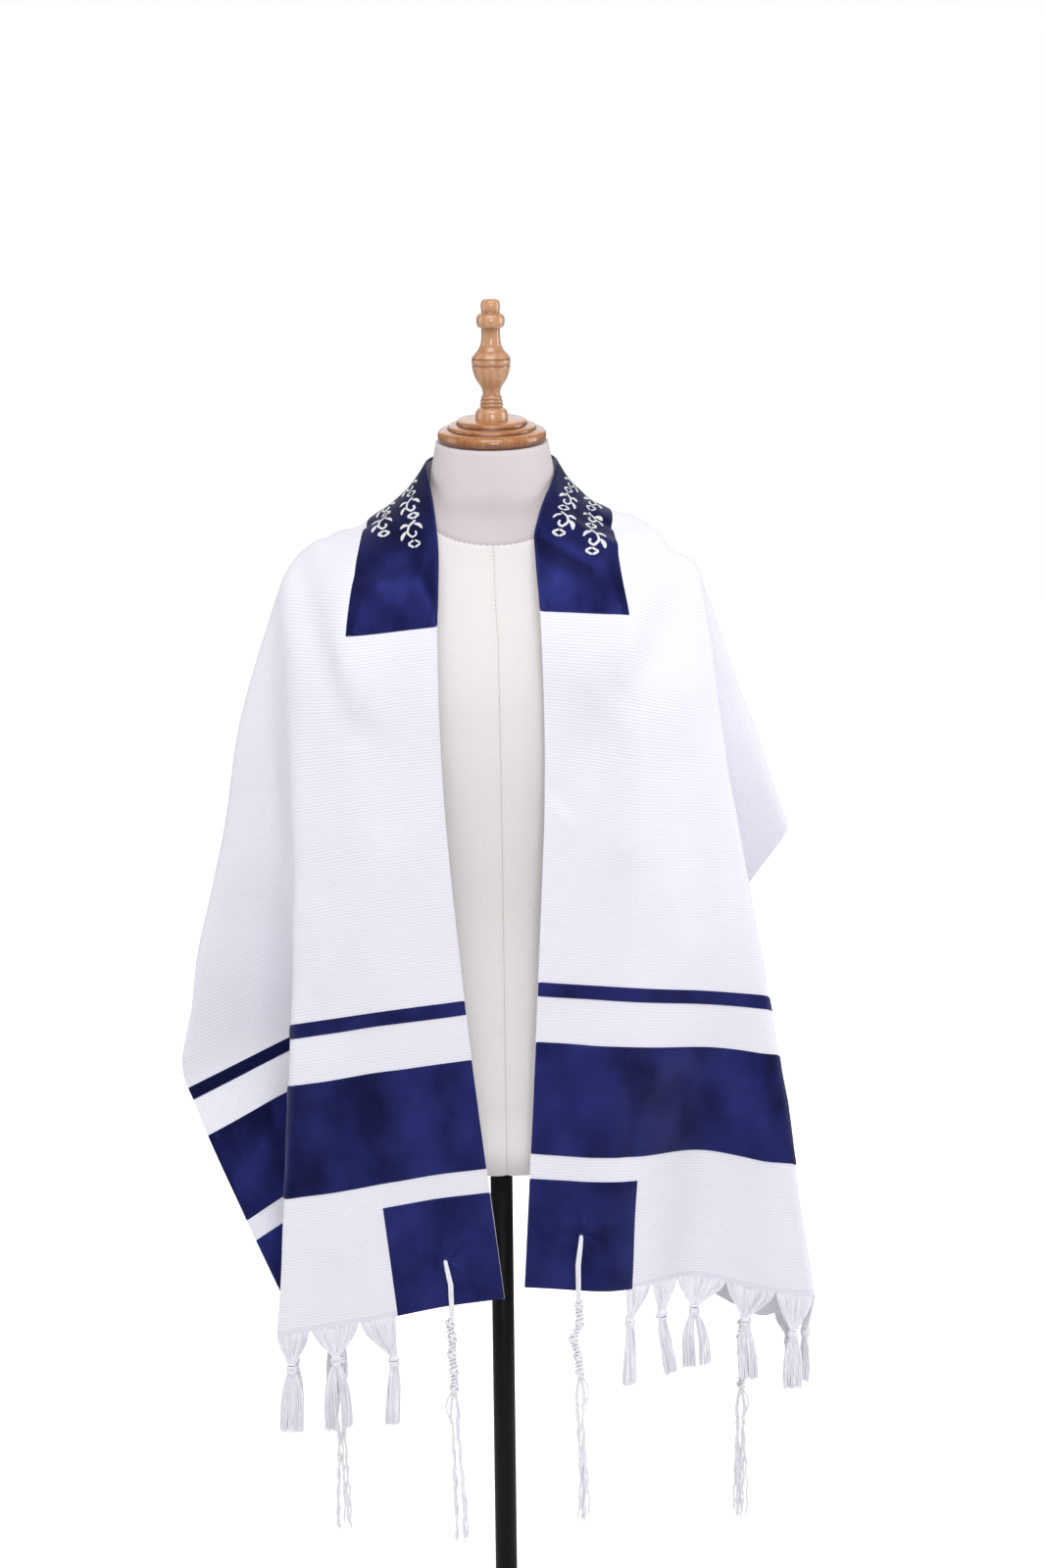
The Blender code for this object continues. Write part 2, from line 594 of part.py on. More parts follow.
def build_tzitzit(side, place, parent):
    """The corner cord: a doubled strand, its knotted stretch, and eight loose strings."""
    v = HOLE_V if place == "front" else WIDTH - HOLE_V
    s = HOLE_S[side]
    u = s if side == "left" else 2 * HALF_LENGTH - s
    us, vs = np.array([u]), np.array([v])
    out = outward(us, vs)[0, 0]
    clear = SEAM_GAP * 2 + TRIM_WALL + CORD_RADIUS
    hole = draped(us, vs)[0, 0] + out * clear
    hem_u = np.array([0.0 if side == "left" else 2 * HALF_LENGTH])
    edge = draped(hem_u, vs)[0, 0] + outward(hem_u, vs)[0, 0] * (clear + 0.0015)
    across = np.array([1.0, 0.0, 0.0])
    deep = np.array([0.0, 1.0, 0.0])
    down = np.array([0.0, 0.0, -1.0])
    shape = bmesh.new()
    below = edge + down * 0.008
    path = [hole, hole * 0.5 + edge * 0.5 + out * 0.0010, edge, below]
    rings = [ring(shape, p, across, deep, (CORD_RADIUS, CORD_RADIUS), 6) for p in path]
    bumps = 9
    for k in range(bumps + 1):
        sway = 0.0022 * math.sin(k * 1.9) * across
        size = WRAP_RADIUS if k % 2 else WRAP_RADIUS * 0.72
        at = below + down * (0.006 + WRAP_LONG * k / bumps) + sway
        rings.append(ring(shape, at, across, deep, (size, size), 6))
    loft(shape, rings)
    head = below + down * (WRAP_LONG + 0.004)
    for k in range(STRINGS):
        turn = 2 * math.pi * k / STRINGS
        away = across * math.cos(turn) + deep * math.sin(turn) * 0.6
        long = STRING_LONG * (1.0 - 0.09 * ((k * 3) % STRINGS) / STRINGS)
        path = [head + away * 0.0018]
        path += [head + down * long * t + away * (0.0018 + 0.0055 * t**0.5) for t in (0.45, 1.0)]
        rings = [ring(shape, p, across, deep, (STRING_RADIUS,) * 2, 4) for p in path]
        loft(shape, rings)
    cord = add_bmesh(f"tzitzit_{side}_{place}", shape, "fringe_yarn", parent)
    joiner = bmesh.new()
    centre = head + down * 0.001
    levels = ((0.004, 0.5), (0.0, 1.0), (-0.004, 0.6))
    loft(joiner, [ring(joiner, centre + down * -z, across, deep, (0.0042 * r,) * 2, 6) for z, r in levels])
    guide = add_bmesh(f"tzitzit_{side}_{place}_knot", joiner, "fringe_yarn", parent)
    guide.hide_render = True
    guide.display_type = "WIRE"
    join = cord.modifiers.new("Join last knot", "BOOLEAN")
    join.operation = "UNION"
    join.solver = "EXACT"
    join.use_self = True
    join.object = guide


# ---------------------------------------------------------------- the form and its stand

# Horizontal sections of the form: height, half width, depth to the front and to the back.
Girth = namedtuple("Girth", "z wide front back")
FORM_SECTIONS = [
    Girth(FORM_BOTTOM, 0.155, 0.105, 0.104),
    Girth(FORM_BOTTOM + 0.008, 0.162, 0.112, 0.111),
    Girth(0.755, 0.165, 0.116, 0.115),
    Girth(0.840, 0.158, 0.111, 0.108),
    Girth(0.950, 0.143, 0.104, 0.098),
    Girth(1.050, 0.150, 0.112, 0.102),
    Girth(1.140, 0.164, 0.121, 0.108),
    Girth(1.200, 0.176, 0.119, 0.108),
    Girth(1.245, 0.189, 0.106, 0.103),
    Girth(1.275, 0.195, 0.092, 0.092),
    Girth(1.293, 0.188, 0.082, 0.082),
    Girth(1.310, 0.162, 0.073, 0.074),
    Girth(1.325, 0.130, 0.067, 0.069),
    Girth(1.340, 0.102, 0.062, 0.065),
    Girth(1.355, 0.080, 0.059, 0.062),
    Girth(1.372, 0.0650, 0.0605, 0.060),
    Girth(1.392, 0.0608, 0.0580, 0.057),
    Girth(NECK_TOP, 0.0555, 0.0540, 0.0535),
]
FORM_SIDES = 30

# The finial's turned profile: height and radius, from its foot up.
Turn = namedtuple("Turn", "z radius")
FINIAL_PROFILE = [
    Turn(1.4402, 0.0120),
    Turn(1.4409, 0.0161),
    Turn(1.4440, 0.0162),
    Turn(1.4487, 0.0155),
    Turn(1.4516, 0.0138),
    Turn(1.4536, 0.0108),
    Turn(1.4560, 0.0114),
    Turn(1.4581, 0.0104),
    Turn(1.4597, 0.0109),
    Turn(1.4618, 0.0098),
    Turn(1.4633, 0.0102),
    Turn(1.4657, 0.0086),
    Turn(1.4705, 0.0089),
    Turn(1.4746, 0.0107),
    Turn(1.4805, 0.0146),
    Turn(1.4865, 0.0172),
    Turn(1.4922, 0.0186),
    Turn(1.5002, 0.0188),
    Turn(1.5056, 0.0160),
    Turn(1.5090, 0.0134),
    Turn(1.5137, 0.0106),
    Turn(1.5195, 0.0094),
    Turn(1.5312, 0.0092),
    Turn(1.5326, 0.0124),
    Turn(1.5395, 0.0138),
    Turn(1.5450, 0.0122),
    Turn(1.5468, 0.0090),
    Turn(1.5560, 0.0091),
    Turn(1.5597, 0.0055),
]


def turned(name, profile, sides, material_name, parent):
    """A solid of revolution about the pole's axis, from (height, radius) rows, bottom to top."""
    shape = bmesh.new()
    rings = []
    for z, radius in profile:
        turns = [2 * math.pi * k / sides for k in range(sides)]
        rings.append(
            [shape.verts.new((radius * math.cos(a), radius * math.sin(a), z)) for a in turns]
        )
    loft(shape, rings)
    return add_bmesh(name, shape, material_name, parent, sharp=math.radians(35))


def build_form(parent):
    shape = bmesh.new()
    rings = []
    for girth in FORM_SECTIONS:
        made = []
        for k in range(FORM_SIDES):
            a = 2 * math.pi * k / FORM_SIDES
            c, s = math.cos(a), math.sin(a)
            deep = girth.back if s > 0 else girth.front
            # a section a little squarer than an ellipse below the shoulders
            power = 0.88 if girth.z < 1.26 else 1.0
            x = girth.wide * math.copysign(abs(c) ** power, c)
            y = deep * math.copysign(abs(s) ** power, s)
            made.append(shape.verts.new((x, y, girth.z)))
        rings.append(made)
    loft(shape, rings)
    add_bmesh("form_torso", shape, "form_linen", parent, sharp=math.radians(60))


def build_neck_cap(parent):
    low, middle, high = CAP_TIERS
    base = NECK_TOP + SEAM_GAP
    profile = [
        (base, low - 0.0020),
        (base + 0.0018, low),
        (base + 0.0065, low + 0.0004),
        (base + 0.0104, low - 0.0014),
        (base + 0.0119, low - 0.0052),
        (base + 0.0122, middle + 0.0012),
        (base + 0.0135, middle + 0.0004),
        (base + 0.0156, middle - 0.0008),
        (base + 0.0163, middle - 0.0045),
        (base + 0.0166, high + 0.0012),
        (base + 0.0184, high + 0.0005),
        (base + 0.0209, high - 0.0010),
        (FINIAL_PROFILE[0].z - SEAM_GAP, high - 0.0040),
    ]
    turned("neck_cap", profile, 30, "dark_wood", parent)


def build_stand(parent):
    edge = 0.003
    base = [
        (0.0, BASE_RADIUS - 0.001),
        (0.001, BASE_RADIUS),
        (BASE_THICK - 2 * edge, BASE_RADIUS),
        (BASE_THICK - edge, BASE_RADIUS - edge),
        (BASE_THICK, 0.060),
        (BASE_THICK + 0.004, 0.024),
        (BASE_THICK + 0.022, 0.021),
        (BASE_THICK + 0.024, 0.019),
    ]
    turned("stand_base", base, 40, "black_metal", parent)
    foot = base[-1][0] + SEAM_GAP
    pole = [(foot, POLE_RADIUS), (FORM_BOTTOM - SEAM_GAP, POLE_RADIUS)]
    turned("stand_pole", pole, 20, "black_metal", parent)


def main():
    stand = add_empty("stand")
    form = add_empty("form", stand)
    shawl = add_empty("shawl", form)
    build_stand(stand)
    build_form(form)
    build_neck_cap(form)
    turned("finial", FINIAL_PROFILE, 20, "pale_wood", form)
    build_cloth(shawl)
    build_trims(shawl)
    for side in ("left", "right"):
        build_fringe(side, shawl)
        for place in ("front", "rear"):
            build_tzitzit(side, place, shawl)


main()
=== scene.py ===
"""Looks for a tallit prayer shawl draped on a limbless dress form with its stand.

Metres, +Z up, the front faces -Y, and the origin is the centre of the stand's underside.
"Left" and "right" are the viewer's, so the left half of the shawl lies at -X.
"""

import functools
import json
import math
from collections import namedtuple

import bpy
import numpy as np
from mathutils import Matrix, Vector

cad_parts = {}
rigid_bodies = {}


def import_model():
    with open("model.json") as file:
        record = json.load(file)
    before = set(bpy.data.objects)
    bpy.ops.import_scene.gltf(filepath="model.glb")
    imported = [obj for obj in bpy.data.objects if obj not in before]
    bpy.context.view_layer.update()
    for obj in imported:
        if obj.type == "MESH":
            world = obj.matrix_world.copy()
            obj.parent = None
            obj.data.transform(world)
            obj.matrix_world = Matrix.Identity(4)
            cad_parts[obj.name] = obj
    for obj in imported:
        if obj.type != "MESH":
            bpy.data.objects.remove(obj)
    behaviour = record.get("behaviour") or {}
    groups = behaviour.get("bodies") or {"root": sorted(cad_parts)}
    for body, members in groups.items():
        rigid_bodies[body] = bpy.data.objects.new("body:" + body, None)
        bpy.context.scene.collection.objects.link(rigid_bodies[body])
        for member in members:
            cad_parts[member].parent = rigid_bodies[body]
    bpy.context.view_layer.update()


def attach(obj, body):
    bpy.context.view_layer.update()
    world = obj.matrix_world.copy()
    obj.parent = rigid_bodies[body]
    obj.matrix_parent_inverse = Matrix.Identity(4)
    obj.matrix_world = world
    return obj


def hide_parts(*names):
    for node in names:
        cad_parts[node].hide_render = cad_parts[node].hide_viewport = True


for old in list(bpy.data.objects):
    bpy.data.objects.remove(old, do_unlink=True)

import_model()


# ---------------------------------------------------------------- studio
# A white seamless studio: a pale floor under a white background, and soft boxes before, above,
# behind and on each side of the form. The camera looks down a little from above head height.

CAMERA_PLACE = (0.0266, -2.8964, 1.850)
CAMERA_PITCH = math.radians(15.1)
CAMERA_ROLL = math.radians(0.6)
FRAME_TALL_PX = 1599
FOCAL_PX = 3000
SENSOR_MM = 36.0
FAR_CLIP = 50.0


def join(made, links):
    """Sets sockets of a node, each to a value, a socket, or a node that stands for its first output."""
    for socket, value in dict(links).items():
        if isinstance(value, bpy.types.Node):
            value = value.outputs[0]
        if isinstance(value, bpy.types.NodeSocket):
            made.id_data.links.new(value, made.inputs[socket])
        else:
            made.inputs[socket].default_value = value


def add_node(tree, kind, links=(), stops=(), **settings):
    """Adds one node with its settings and links. stops are the places and colours of a ramp."""
    made = tree.nodes.new(kind if "Node" in kind else tree.bl_idname.removesuffix("Tree") + kind)
    for name, value in settings.items():
        setattr(made, name, value)
    for k, (place, colour) in enumerate(stops):
        stop = made.color_ramp.elements[k]
        stop.position, stop.color = place, linear(colour)
    join(made, links)
    return made


def linear(code):
    """An sRGB hex colour, such as "#F0EFF7", as linear RGBA."""
    parts = [int(code[i : i + 2], 16) / 255 for i in (1, 3, 5)]
    values = [p / 12.92 if p <= 0.04045 else ((p + 0.055) / 1.055) ** 2.4 for p in parts]
    return (*values, 1.0)


def put_in_scene(name, data):
    made = bpy.data.objects.new(name, data)
    bpy.context.scene.collection.objects.link(made)
    return made


def new_mesh(name, points, faces=(), edges=()):
    """A mesh, shaded smooth, from an array of points of any number of dimensions."""
    made = bpy.data.meshes.new(name)
    made.from_pydata(np.reshape(points, (-1, 3)).tolist(), edges, faces)
    made.shade_smooth()
    return made


camera_data = bpy.data.cameras.new("Camera")
camera_data.sensor_fit = "VERTICAL"
camera_data.sensor_height = SENSOR_MM
camera_data.lens = FOCAL_PX / FRAME_TALL_PX * SENSOR_MM
camera_data.clip_end = FAR_CLIP
camera = put_in_scene("Camera", camera_data)
turn = Matrix.Rotation(math.pi / 2 - CAMERA_PITCH, 4, "X") @ Matrix.Rotation(-CAMERA_ROLL, 4, "Z")
camera.matrix_world = Matrix.Translation(CAMERA_PLACE) @ turn
bpy.context.scene.camera = camera
bpy.context.scene.view_settings.view_transform = "Standard"

SoftBox = namedtuple("SoftBox", "name place aim wide tall watts")
SOFT_BOXES = [
    SoftBox("Key_soft_box", (0.30, -3.2, 2.10), (0.0, 0.0, 1.00), 1.1, 1.1, 35.0),
    SoftBox("Top_soft_box", (-0.05, -1.2, 3.40), (0.0, -0.1, 1.20), 1.5, 1.2, 32.0),
    SoftBox("Left_soft_box", (-2.7, 0.2, 1.6), (0.0, 0.0, 1.00), 1.2, 1.8, 16.0),
    SoftBox("Right_soft_box", (2.7, 0.3, 1.6), (0.0, 0.0, 1.00), 1.2, 1.8, 30.0),
    SoftBox("Rear_soft_box", (0.0, 2.8, 2.7), (0.0, 0.0, 1.00), 3.0, 2.2, 24.0),
]
for box in SOFT_BOXES:
    light = bpy.data.lights.new(box.name, "AREA")
    light.shape = "RECTANGLE"
    light.size, light.size_y, light.energy = box.wide, box.tall, box.watts
    look = (Vector(box.aim) - Vector(box.place)).to_track_quat("-Z", "Y").to_matrix().to_4x4()
    put_in_scene(box.name, light).matrix_world = Matrix.Translation(box.place) @ look

world = bpy.data.worlds.new("White_studio")
bpy.context.scene.world = world
world.use_nodes = True
tree = world.node_tree
tree.nodes.clear()
seen = add_node(tree, "LightPath")
# the room is dimmer in glossy rays, as if dark flags stood beside the form, so that a glossy face
# mirrors less light than a matt one gets
flags = add_node(tree, "Math", {
    0: seen.outputs["Is Glossy Ray"], 1: -0.22, 2: 0.42,
}, operation="MULTIPLY_ADD")
room = add_node(tree, "Background", {"Color": (0.96, 0.965, 1.0, 1.0), "Strength": flags})
sheet = add_node(tree, "Background", {"Color": (1, 1, 1, 1), "Strength": 1.0})
pick = add_node(tree, "MixShader", {0: seen.outputs["Is Camera Ray"], 1: room, 2: sheet})
add_node(tree, "OutputWorld", {"Surface": pick})

FLOOR_HALF = 6.0
FLOOR_DROP = 0.0005  # just under the base, so that no two faces share a plane
corners = [
    (x * FLOOR_HALF, y * FLOOR_HALF, -FLOOR_DROP) for x, y in ((-1, -1), (1, -1), (1, 1), (-1, 1))
]
floor = put_in_scene("Studio_floor", new_mesh("Studio_floor", corners, [(0, 1, 2, 3)]))
# Matt white paper with a painted glow that only the camera sees, weaker near the base and growing away
# from it, so that it runs into the white background.
paper = bpy.data.materials.new("White_seamless_paper")
paper.use_nodes = True
tree = paper.node_tree
tree.nodes.clear()
seen = add_node(tree, "LightPath")
place = add_node(tree, "TexCoord")
away = add_node(tree, "VectorMath", {0: place.outputs["Object"]}, operation="LENGTH")
rise = add_node(tree, "MapRange", {0: away.outputs["Value"], 1: 0.3, 2: 1.3, 3: 0.62, 4: 1.0})
level = add_node(tree, "Math", {0: rise, 1: seen.outputs["Is Camera Ray"]}, operation="MULTIPLY")
matt = add_node(tree, "BsdfDiffuse", {"Color": linear("#EFEFEF")})
# painted glow: emission for camera rays only, rising with the distance from the base
painted_glow = add_node(tree, "Emission", {"Color": (1, 1, 1, 1), "Strength": level})
both = add_node(tree, "AddShader", {0: matt, 1: painted_glow})
add_node(tree, "OutputMaterial", {"Surface": both})
floor.data.materials.append(paper)


# ---------------------------------------------------------------- shawl cloth
# One length of white cloth in a fine crosswise rib, cut 0.50 by 2.04 m with woven neck and outer
# edges. It is folded over the shoulders of the form, and soft troughs and ridges give its creases.

# s runs from a fringed end (0) to the nape (HALF_LENGTH) on each half, and v runs from the neck
# edge (0) to the outer edge (WIDTH). u runs over the whole shawl, from the left end to the right.
WIDTH = 0.500
HALF_LENGTH = 1.020
LENGTH = 2 * HALF_LENGTH
CLOTH_THICK = 0.0011
SHOULDER_S = 0.765  # where the folds of each half meet, on the tip of the shoulder
FOLD_ROUND_V = 0.011  # how far a fold is rounded across the shawl, near its neck edge
FOLD_ROUND_BACK = 0.022  # and near its outer edge, where the hidden folds turn wider
FOLD_ROUND_S = 0.018  # and along the shawl

# Each guide line runs along the shawl. Its rows, in millimetres, say where it lies in the cut (s, v)
# and in the world (out, y, z), with "out" the distance from the middle plane on either half.
LEFT_HALF = {
    "neck_edge": [
        (0, 0, -3, -140, 563), (327, 0, 33, -140, 887), (560, 0, 51.5, -136, 1119),
        (700, 0, 54, -126, 1260), (784, 0, 53, -80, 1333), (844, 0, 60, -42, 1374),
        (899, 0, 66, 0, 1396), (960, 0, 50, 55, 1400), (1020, 0, 0, 82, 1398),
    ],
    "neckband_edge": [
        (0, 87, 83, -150, 552), (327, 87, 118, -139, 875), (560, 87, 136, -130, 1109),
        (700, 87, 142.7, -116, 1248), (765, 87, 135, -75, 1308), (800, 87, 130, -43, 1330),
        (840, 87, 127, -5, 1341), (870, 87, 121, 30, 1343), (910, 87, 96, 72, 1338),
        (960, 87, 55, 102, 1330), (1020, 87, 0, 112, 1310),
    ],
    "front_fold": [
        (0, 240, 235.5, -150, 528), (327, 180, 209.7, -106, 851), (560, 157, 200.5, -94, 1092),
        (700, 160, 204, -53, 1240), (765, 175, 210.5, -3, 1299), (840, 175, 173, 52, 1294),
        (899, 175, 131, 101, 1273), (960, 175, 68, 126, 1250), (1020, 175, 0, 139, 1228),
    ],
    "inside_fold": [
        (0, 370, 117, -95, 560), (143, 368, 174, 3, 655), (327, 360, 200, 45, 795),
        (560, 250, 222, -10, 1055), (700, 200, 222, -20, 1220), (765, 176, 210.7, -3, 1298),
    ],
    "side_fold": [
        (0, 505, 213, -100, 505), (118, 505, 259, -70, 597), (143, 505, 269, -55, 612),
        (262, 505, 316, 20, 678), (327, 510, 345, 62, 715), (400, 458, 333, 50, 828),
        (560, 339, 294, 30, 1000), (700, 237, 248, 0, 1195), (765, 177, 211, -3, 1297),
    ],
    "outer_edge": [
        (327, 525, 347, 62, 713), (360, 500, 338, 60, 765), (450, 500, 297, 85, 850),
        (600, 500, 215, 150, 945), (765, 500, 195, 20, 965), (840, 500, 150, 75, 955),
        (899, 500, 105, 115, 945), (960, 500, 50, 136, 925), (1020, 500, -10, 143, 905),
    ],
}

RIGHT_HALF = {
    "neck_edge": [
        (0, 0, 23.2, -140, 575.6), (330, 0, 40.1, -140, 908.5), (560, 0, 48.6, -136, 1134),
        (700, 0, 45.3, -126, 1274), (784, 0, 42, -78, 1345), (835, 0, 52, -46, 1372),
        (895, 0, 65, 0, 1395), (960, 0, 50, 55, 1400), (1020, 0, 0, 82, 1398),
    ],
    "neckband_edge": [
        (0, 87, 110, -136, 567), (330, 87, 126, -130, 898), (560, 87, 134, -125, 1119),
        (700, 87, 131, -116, 1267), (745, 87, 124, -86, 1305), (790, 87, 120, -50, 1329),
        (830, 87, 118, -10, 1343), (870, 87, 114, 30, 1348), (910, 87, 91, 70, 1340),
        (960, 87, 52, 102, 1330), (1020, 87, 0, 112, 1310),
    ],
    "front_fold": [
        (0, 305, 331.5, -90, 540), (330, 240, 276.5, -80, 870), (560, 200, 237, -65, 1096),
        (690, 188, 218, -45, 1221), (765, 185, 208, -3, 1296), (840, 180, 170, 52, 1294),
        (895, 175, 129, 101, 1272), (960, 175, 66, 126, 1250), (1020, 175, 0, 139, 1228),
    ],
    "inside_fold": [
        (0, 420, 275, 0, 472), (200, 415, 255, 45, 665), (300, 410, 245, 55, 755),
        (380, 400, 235, 60, 835), (450, 380, 215, 55, 905), (570, 322, 190, 35, 1045),
        (645, 270, 204, 12, 1140), (765, 186, 208.2, -3, 1295),
    ],
    "side_fold": [
        (0, 505, 212, 20, 502), (200, 505, 195, 80, 660), (300, 505, 200, 120, 745),
        (380, 505, 210, 145, 810), (450, 505, 238, 150, 860), (570, 508, 277, 90, 940),
        (645, 505, 307, 60, 1000), (700, 355, 262, 30, 1141), (765, 187, 208.5, -3, 1294),
    ],
    "outer_edge": [
        (570, 530, 280, 90, 933), (645, 515, 308, 62, 998), (700, 500, 290, 98, 1016),
        (765, 500, 247, 138, 1030), (840, 500, 190, 165, 1005), (895, 500, 140, 170, 975),
        (960, 500, 80, 155, 940), (1020, 500, 10, 143, 905),
    ],
}

GUIDES = {
    (side, name): np.array(rows) / 1000
    for side, half in (("left", LEFT_HALF), ("right", RIGHT_HALF))
    for name, rows in half.items()
}

# Soft waves pushed back into the drape: on which half, round which v, how wide, how deep at the
# hem, and up to which s they run out.
Wave = namedtuple("Wave", "half v wide deep runs_out")
WAVES = [
    Wave("right", 0.175, 0.055, 0.042, 0.42),
    Wave("left", 0.060, 0.050, 0.008, 0.40),
]


def cubic(t, gap, low, high, low_slope, high_slope):
    """A smooth cubic between two values with given slopes, at the share t of the gap between them."""
    return (
        (2 * t**3 - 3 * t**2 + 1) * low
        + (t**3 - 2 * t**2 + t) * gap * low_slope
        + (3 * t**2 - 2 * t**3) * high
        + (t**3 - t**2) * gap * high_slope
    )


@functools.cache
def spline(side, name):
    """A guide line's knots in s, its values (v, out, y, z) there, and their slopes."""
    knots, values = GUIDES[side, name][:, 0], GUIDES[side, name][:, 1:]
    gaps = np.diff(knots)
    slopes = np.diff(values, axis=0) / gaps[:, None]
    tangents = np.empty_like(values)
    tangents[0], tangents[-1] = slopes[0], slopes[-1]
    before, after = gaps[:-1, None], gaps[1:, None]
    tangents[1:-1] = (slopes[:-1] * after + slopes[1:] * before) / (before + after)
    return knots, values, tangents


def along(side, name, s):
    """A guide line's (v, out, y, z) at s: a smooth cubic through its rows, straight past its ends."""
    knots, values, tangents = spline(side, name)
    if s <= knots[0]:
        return values[0] + tangents[0] * (s - knots[0])
    if s >= knots[-1]:
        return values[-1] + tangents[-1] * (s - knots[-1])
    i = int(np.searchsorted(knots, s)) - 1
    gap = knots[i + 1] - knots[i]
    return cubic((s - knots[i]) / gap, gap, values[i], values[i + 1], tangents[i], tangents[i + 1])


@functools.cache
def section(side, s):
    """The corners (v, out, y, z) of the shawl's section at s, from the neck edge outwards."""
    names = ["neck_edge", "neckband_edge", "front_fold"]
    if s < SHOULDER_S:
        names += ["inside_fold", "side_fold"]
    if s >= GUIDES[side, "outer_edge"][0, 0]:
        names.append("outer_edge")
    corners = [along(side, names[0], s)]
    for name in names[1:]:
        corner = along(side, name, s)
        if corner[0] > corners[-1][0] + 1e-4:
            corners.append(corner)
    return np.array(corners)


def straight_row(side, s, vs):
    """Points of the unrounded section at s for each v."""
    corners = section(side, s)
    first, last = corners[1] - corners[0], corners[-1] - corners[-2]
    points = np.empty((len(vs), 3))
    for axis in range(3):
        column = corners[:, axis + 1]
        points[:, axis] = np.interp(vs, corners[:, 0], column)
        low, high = vs < corners[0, 0], vs > corners[-1, 0]
        points[low, axis] = column[0] + first[axis + 1] / first[0] * (vs[low] - corners[0, 0])
        points[high, axis] = column[-1] + last[axis + 1] / last[0] * (vs[high] - corners[-1, 0])
    return points


def draped_row(side, s, vs):
    """Points of the hanging shawl at s, with its folds rounded and its waves pushed in."""
    other = "right" if side == "left" else "left"
    total, weights = np.zeros((len(vs), 3)), 0.0
    wider = np.interp(vs, (0.27, 0.34), (FOLD_ROUND_V, FOLD_ROUND_BACK))
    reach = np.minimum(wider, np.minimum(vs, WIDTH - vs) + 0.0005)
    for step_s in (-1.0, -0.5, 0.0, 0.5, 1.0):
        at = round(s + step_s * FOLD_ROUND_S, 6)
        weight = 1.0 - 0.5 * abs(step_s)
        for step_v in (-1.0, -0.6, -0.2, 0.2, 0.6, 1.0):
            where = vs + step_v * reach
            if at > HALF_LENGTH:
                row = straight_row(other, LENGTH - at, where) * (-1.0, 1.0, 1.0)
            else:
                row = straight_row(side, at, where)
            total += weight * row
            weights += weight
    points = total / weights
    points[:, 0] *= -1.0 if side == "left" else 1.0
    for wave in WAVES:
        if wave.half == side and s < wave.runs_out:
            fade = 0.5 + 0.5 * math.cos(math.pi * max(s, 0.0) / wave.runs_out)
            points[:, 1] += wave.deep * fade * np.exp(-(((vs - wave.v) / wave.wide) ** 2))
    return points


def draped(us, vs):
    """A grid of points. u runs over the whole shawl, from the left end to the right end."""
    sides = [("left", u) if u <= HALF_LENGTH else ("right", LENGTH - u) for u in us]
    return np.array([draped_row(side, s, vs) for side, s in sides])


def outward(us, vs):
    """Unit normals of the outer face, from points a little to each side."""
    step = 0.004
    along_u = draped(us + step, vs) - draped(us - step, vs)
    along_v = draped(us, vs + step) - draped(us, vs - step)
    normals = np.cross(along_u, along_v)
    return normals / np.linalg.norm(normals, axis=2, keepdims=True)


# Soft creases, in millimetres: each runs straight in the cut of one half from (s, v) to another
# (s, v), is about twice as wide across as the next number, and rises by the last one.
CREASES = [
    # down the left front, beside its fold
    ("left", 770, 160, 610, 88, 20, -4.5), ("left", 740, 110, 620, 60, 18, 1.8),
    ("left", 440, 138, 360, 142, 10, 1.6), ("left", 660, 30, 520, 60, 22, -2.6),
    ("left", 300, 100, 60, 110, 20, -2.2), ("left", 280, 150, 80, 165, 18, 2),
    # from the right shoulder down towards the neck edge
    ("right", 725, 160, 625, 86, 22, -5.5), ("right", 590, 60, 520, 20, 18, -2.2),
    # the cloth stands up a little over each shoulder, beside the neckband
    ("right", 842, 116, 806, 134, 23, 15), ("left", 842, 133, 806, 148, 25, 11),
    ("right", 740, 120, 640, 45, 18, 3), ("right", 640, 140, 480, 85, 22, 3),
    ("right", 700, 178, 600, 186, 9, -3), ("right", 560, 150, 400, 160, 20, -2.4),
    ("right", 528, 2, 505, 30, 6, -1.2), ("right", 514, 2, 492, 28, 6, 1),
    ("right", 385, 1, 375, 18, 6, -1),
    # the sheen lines of the right wide band
    ("right", 300, 232, 20, 250, 14, 2.4), ("right", 270, 64, 120, 58, 16, 1.2),
    ("right", 250, 98, 130, 100, 7, -1.2),
    # on the neckband
    ("right", 780, 3, 749, 58, 10, -3.4), ("right", 803, 22, 778, 85, 9.5, 2.6),
    ("right", 752, 10, 718, 60, 12, 1), ("right", 830, 60, 812, 90, 7, -3.5),
    ("right", 850, 10, 800, 40, 9, 1.8), ("left", 758, 80, 768, 30, 9, -2.4),
    ("left", 745, 14, 722, 4, 6, -1.2), ("left", 740, 62, 712, 30, 13, 1.6),
    ("left", 842, 70, 826, 92, 7, -3),
    # round the back and down the hidden folds
    ("left", 950, 200, 900, 420, 16, 4), ("right", 930, 210, 860, 430, 16, 4),
    ("right", 990, 180, 985, 460, 20, -3.5), ("left", 860, 260, 800, 440, 16, -3.5),
    ("right", 820, 280, 760, 450, 14, -3), ("left", 300, 420, 60, 430, 14, 2.2),
]


# A slow unevenness of hanging cloth: two wave numbers, a phase and a height in metres.
UNEVEN = [(23.0, 37.0, 0.4, 0.0006), (41.0, -29.0, 2.1, 0.0004), (67.0, 71.0, 4.0, 0.00025)]


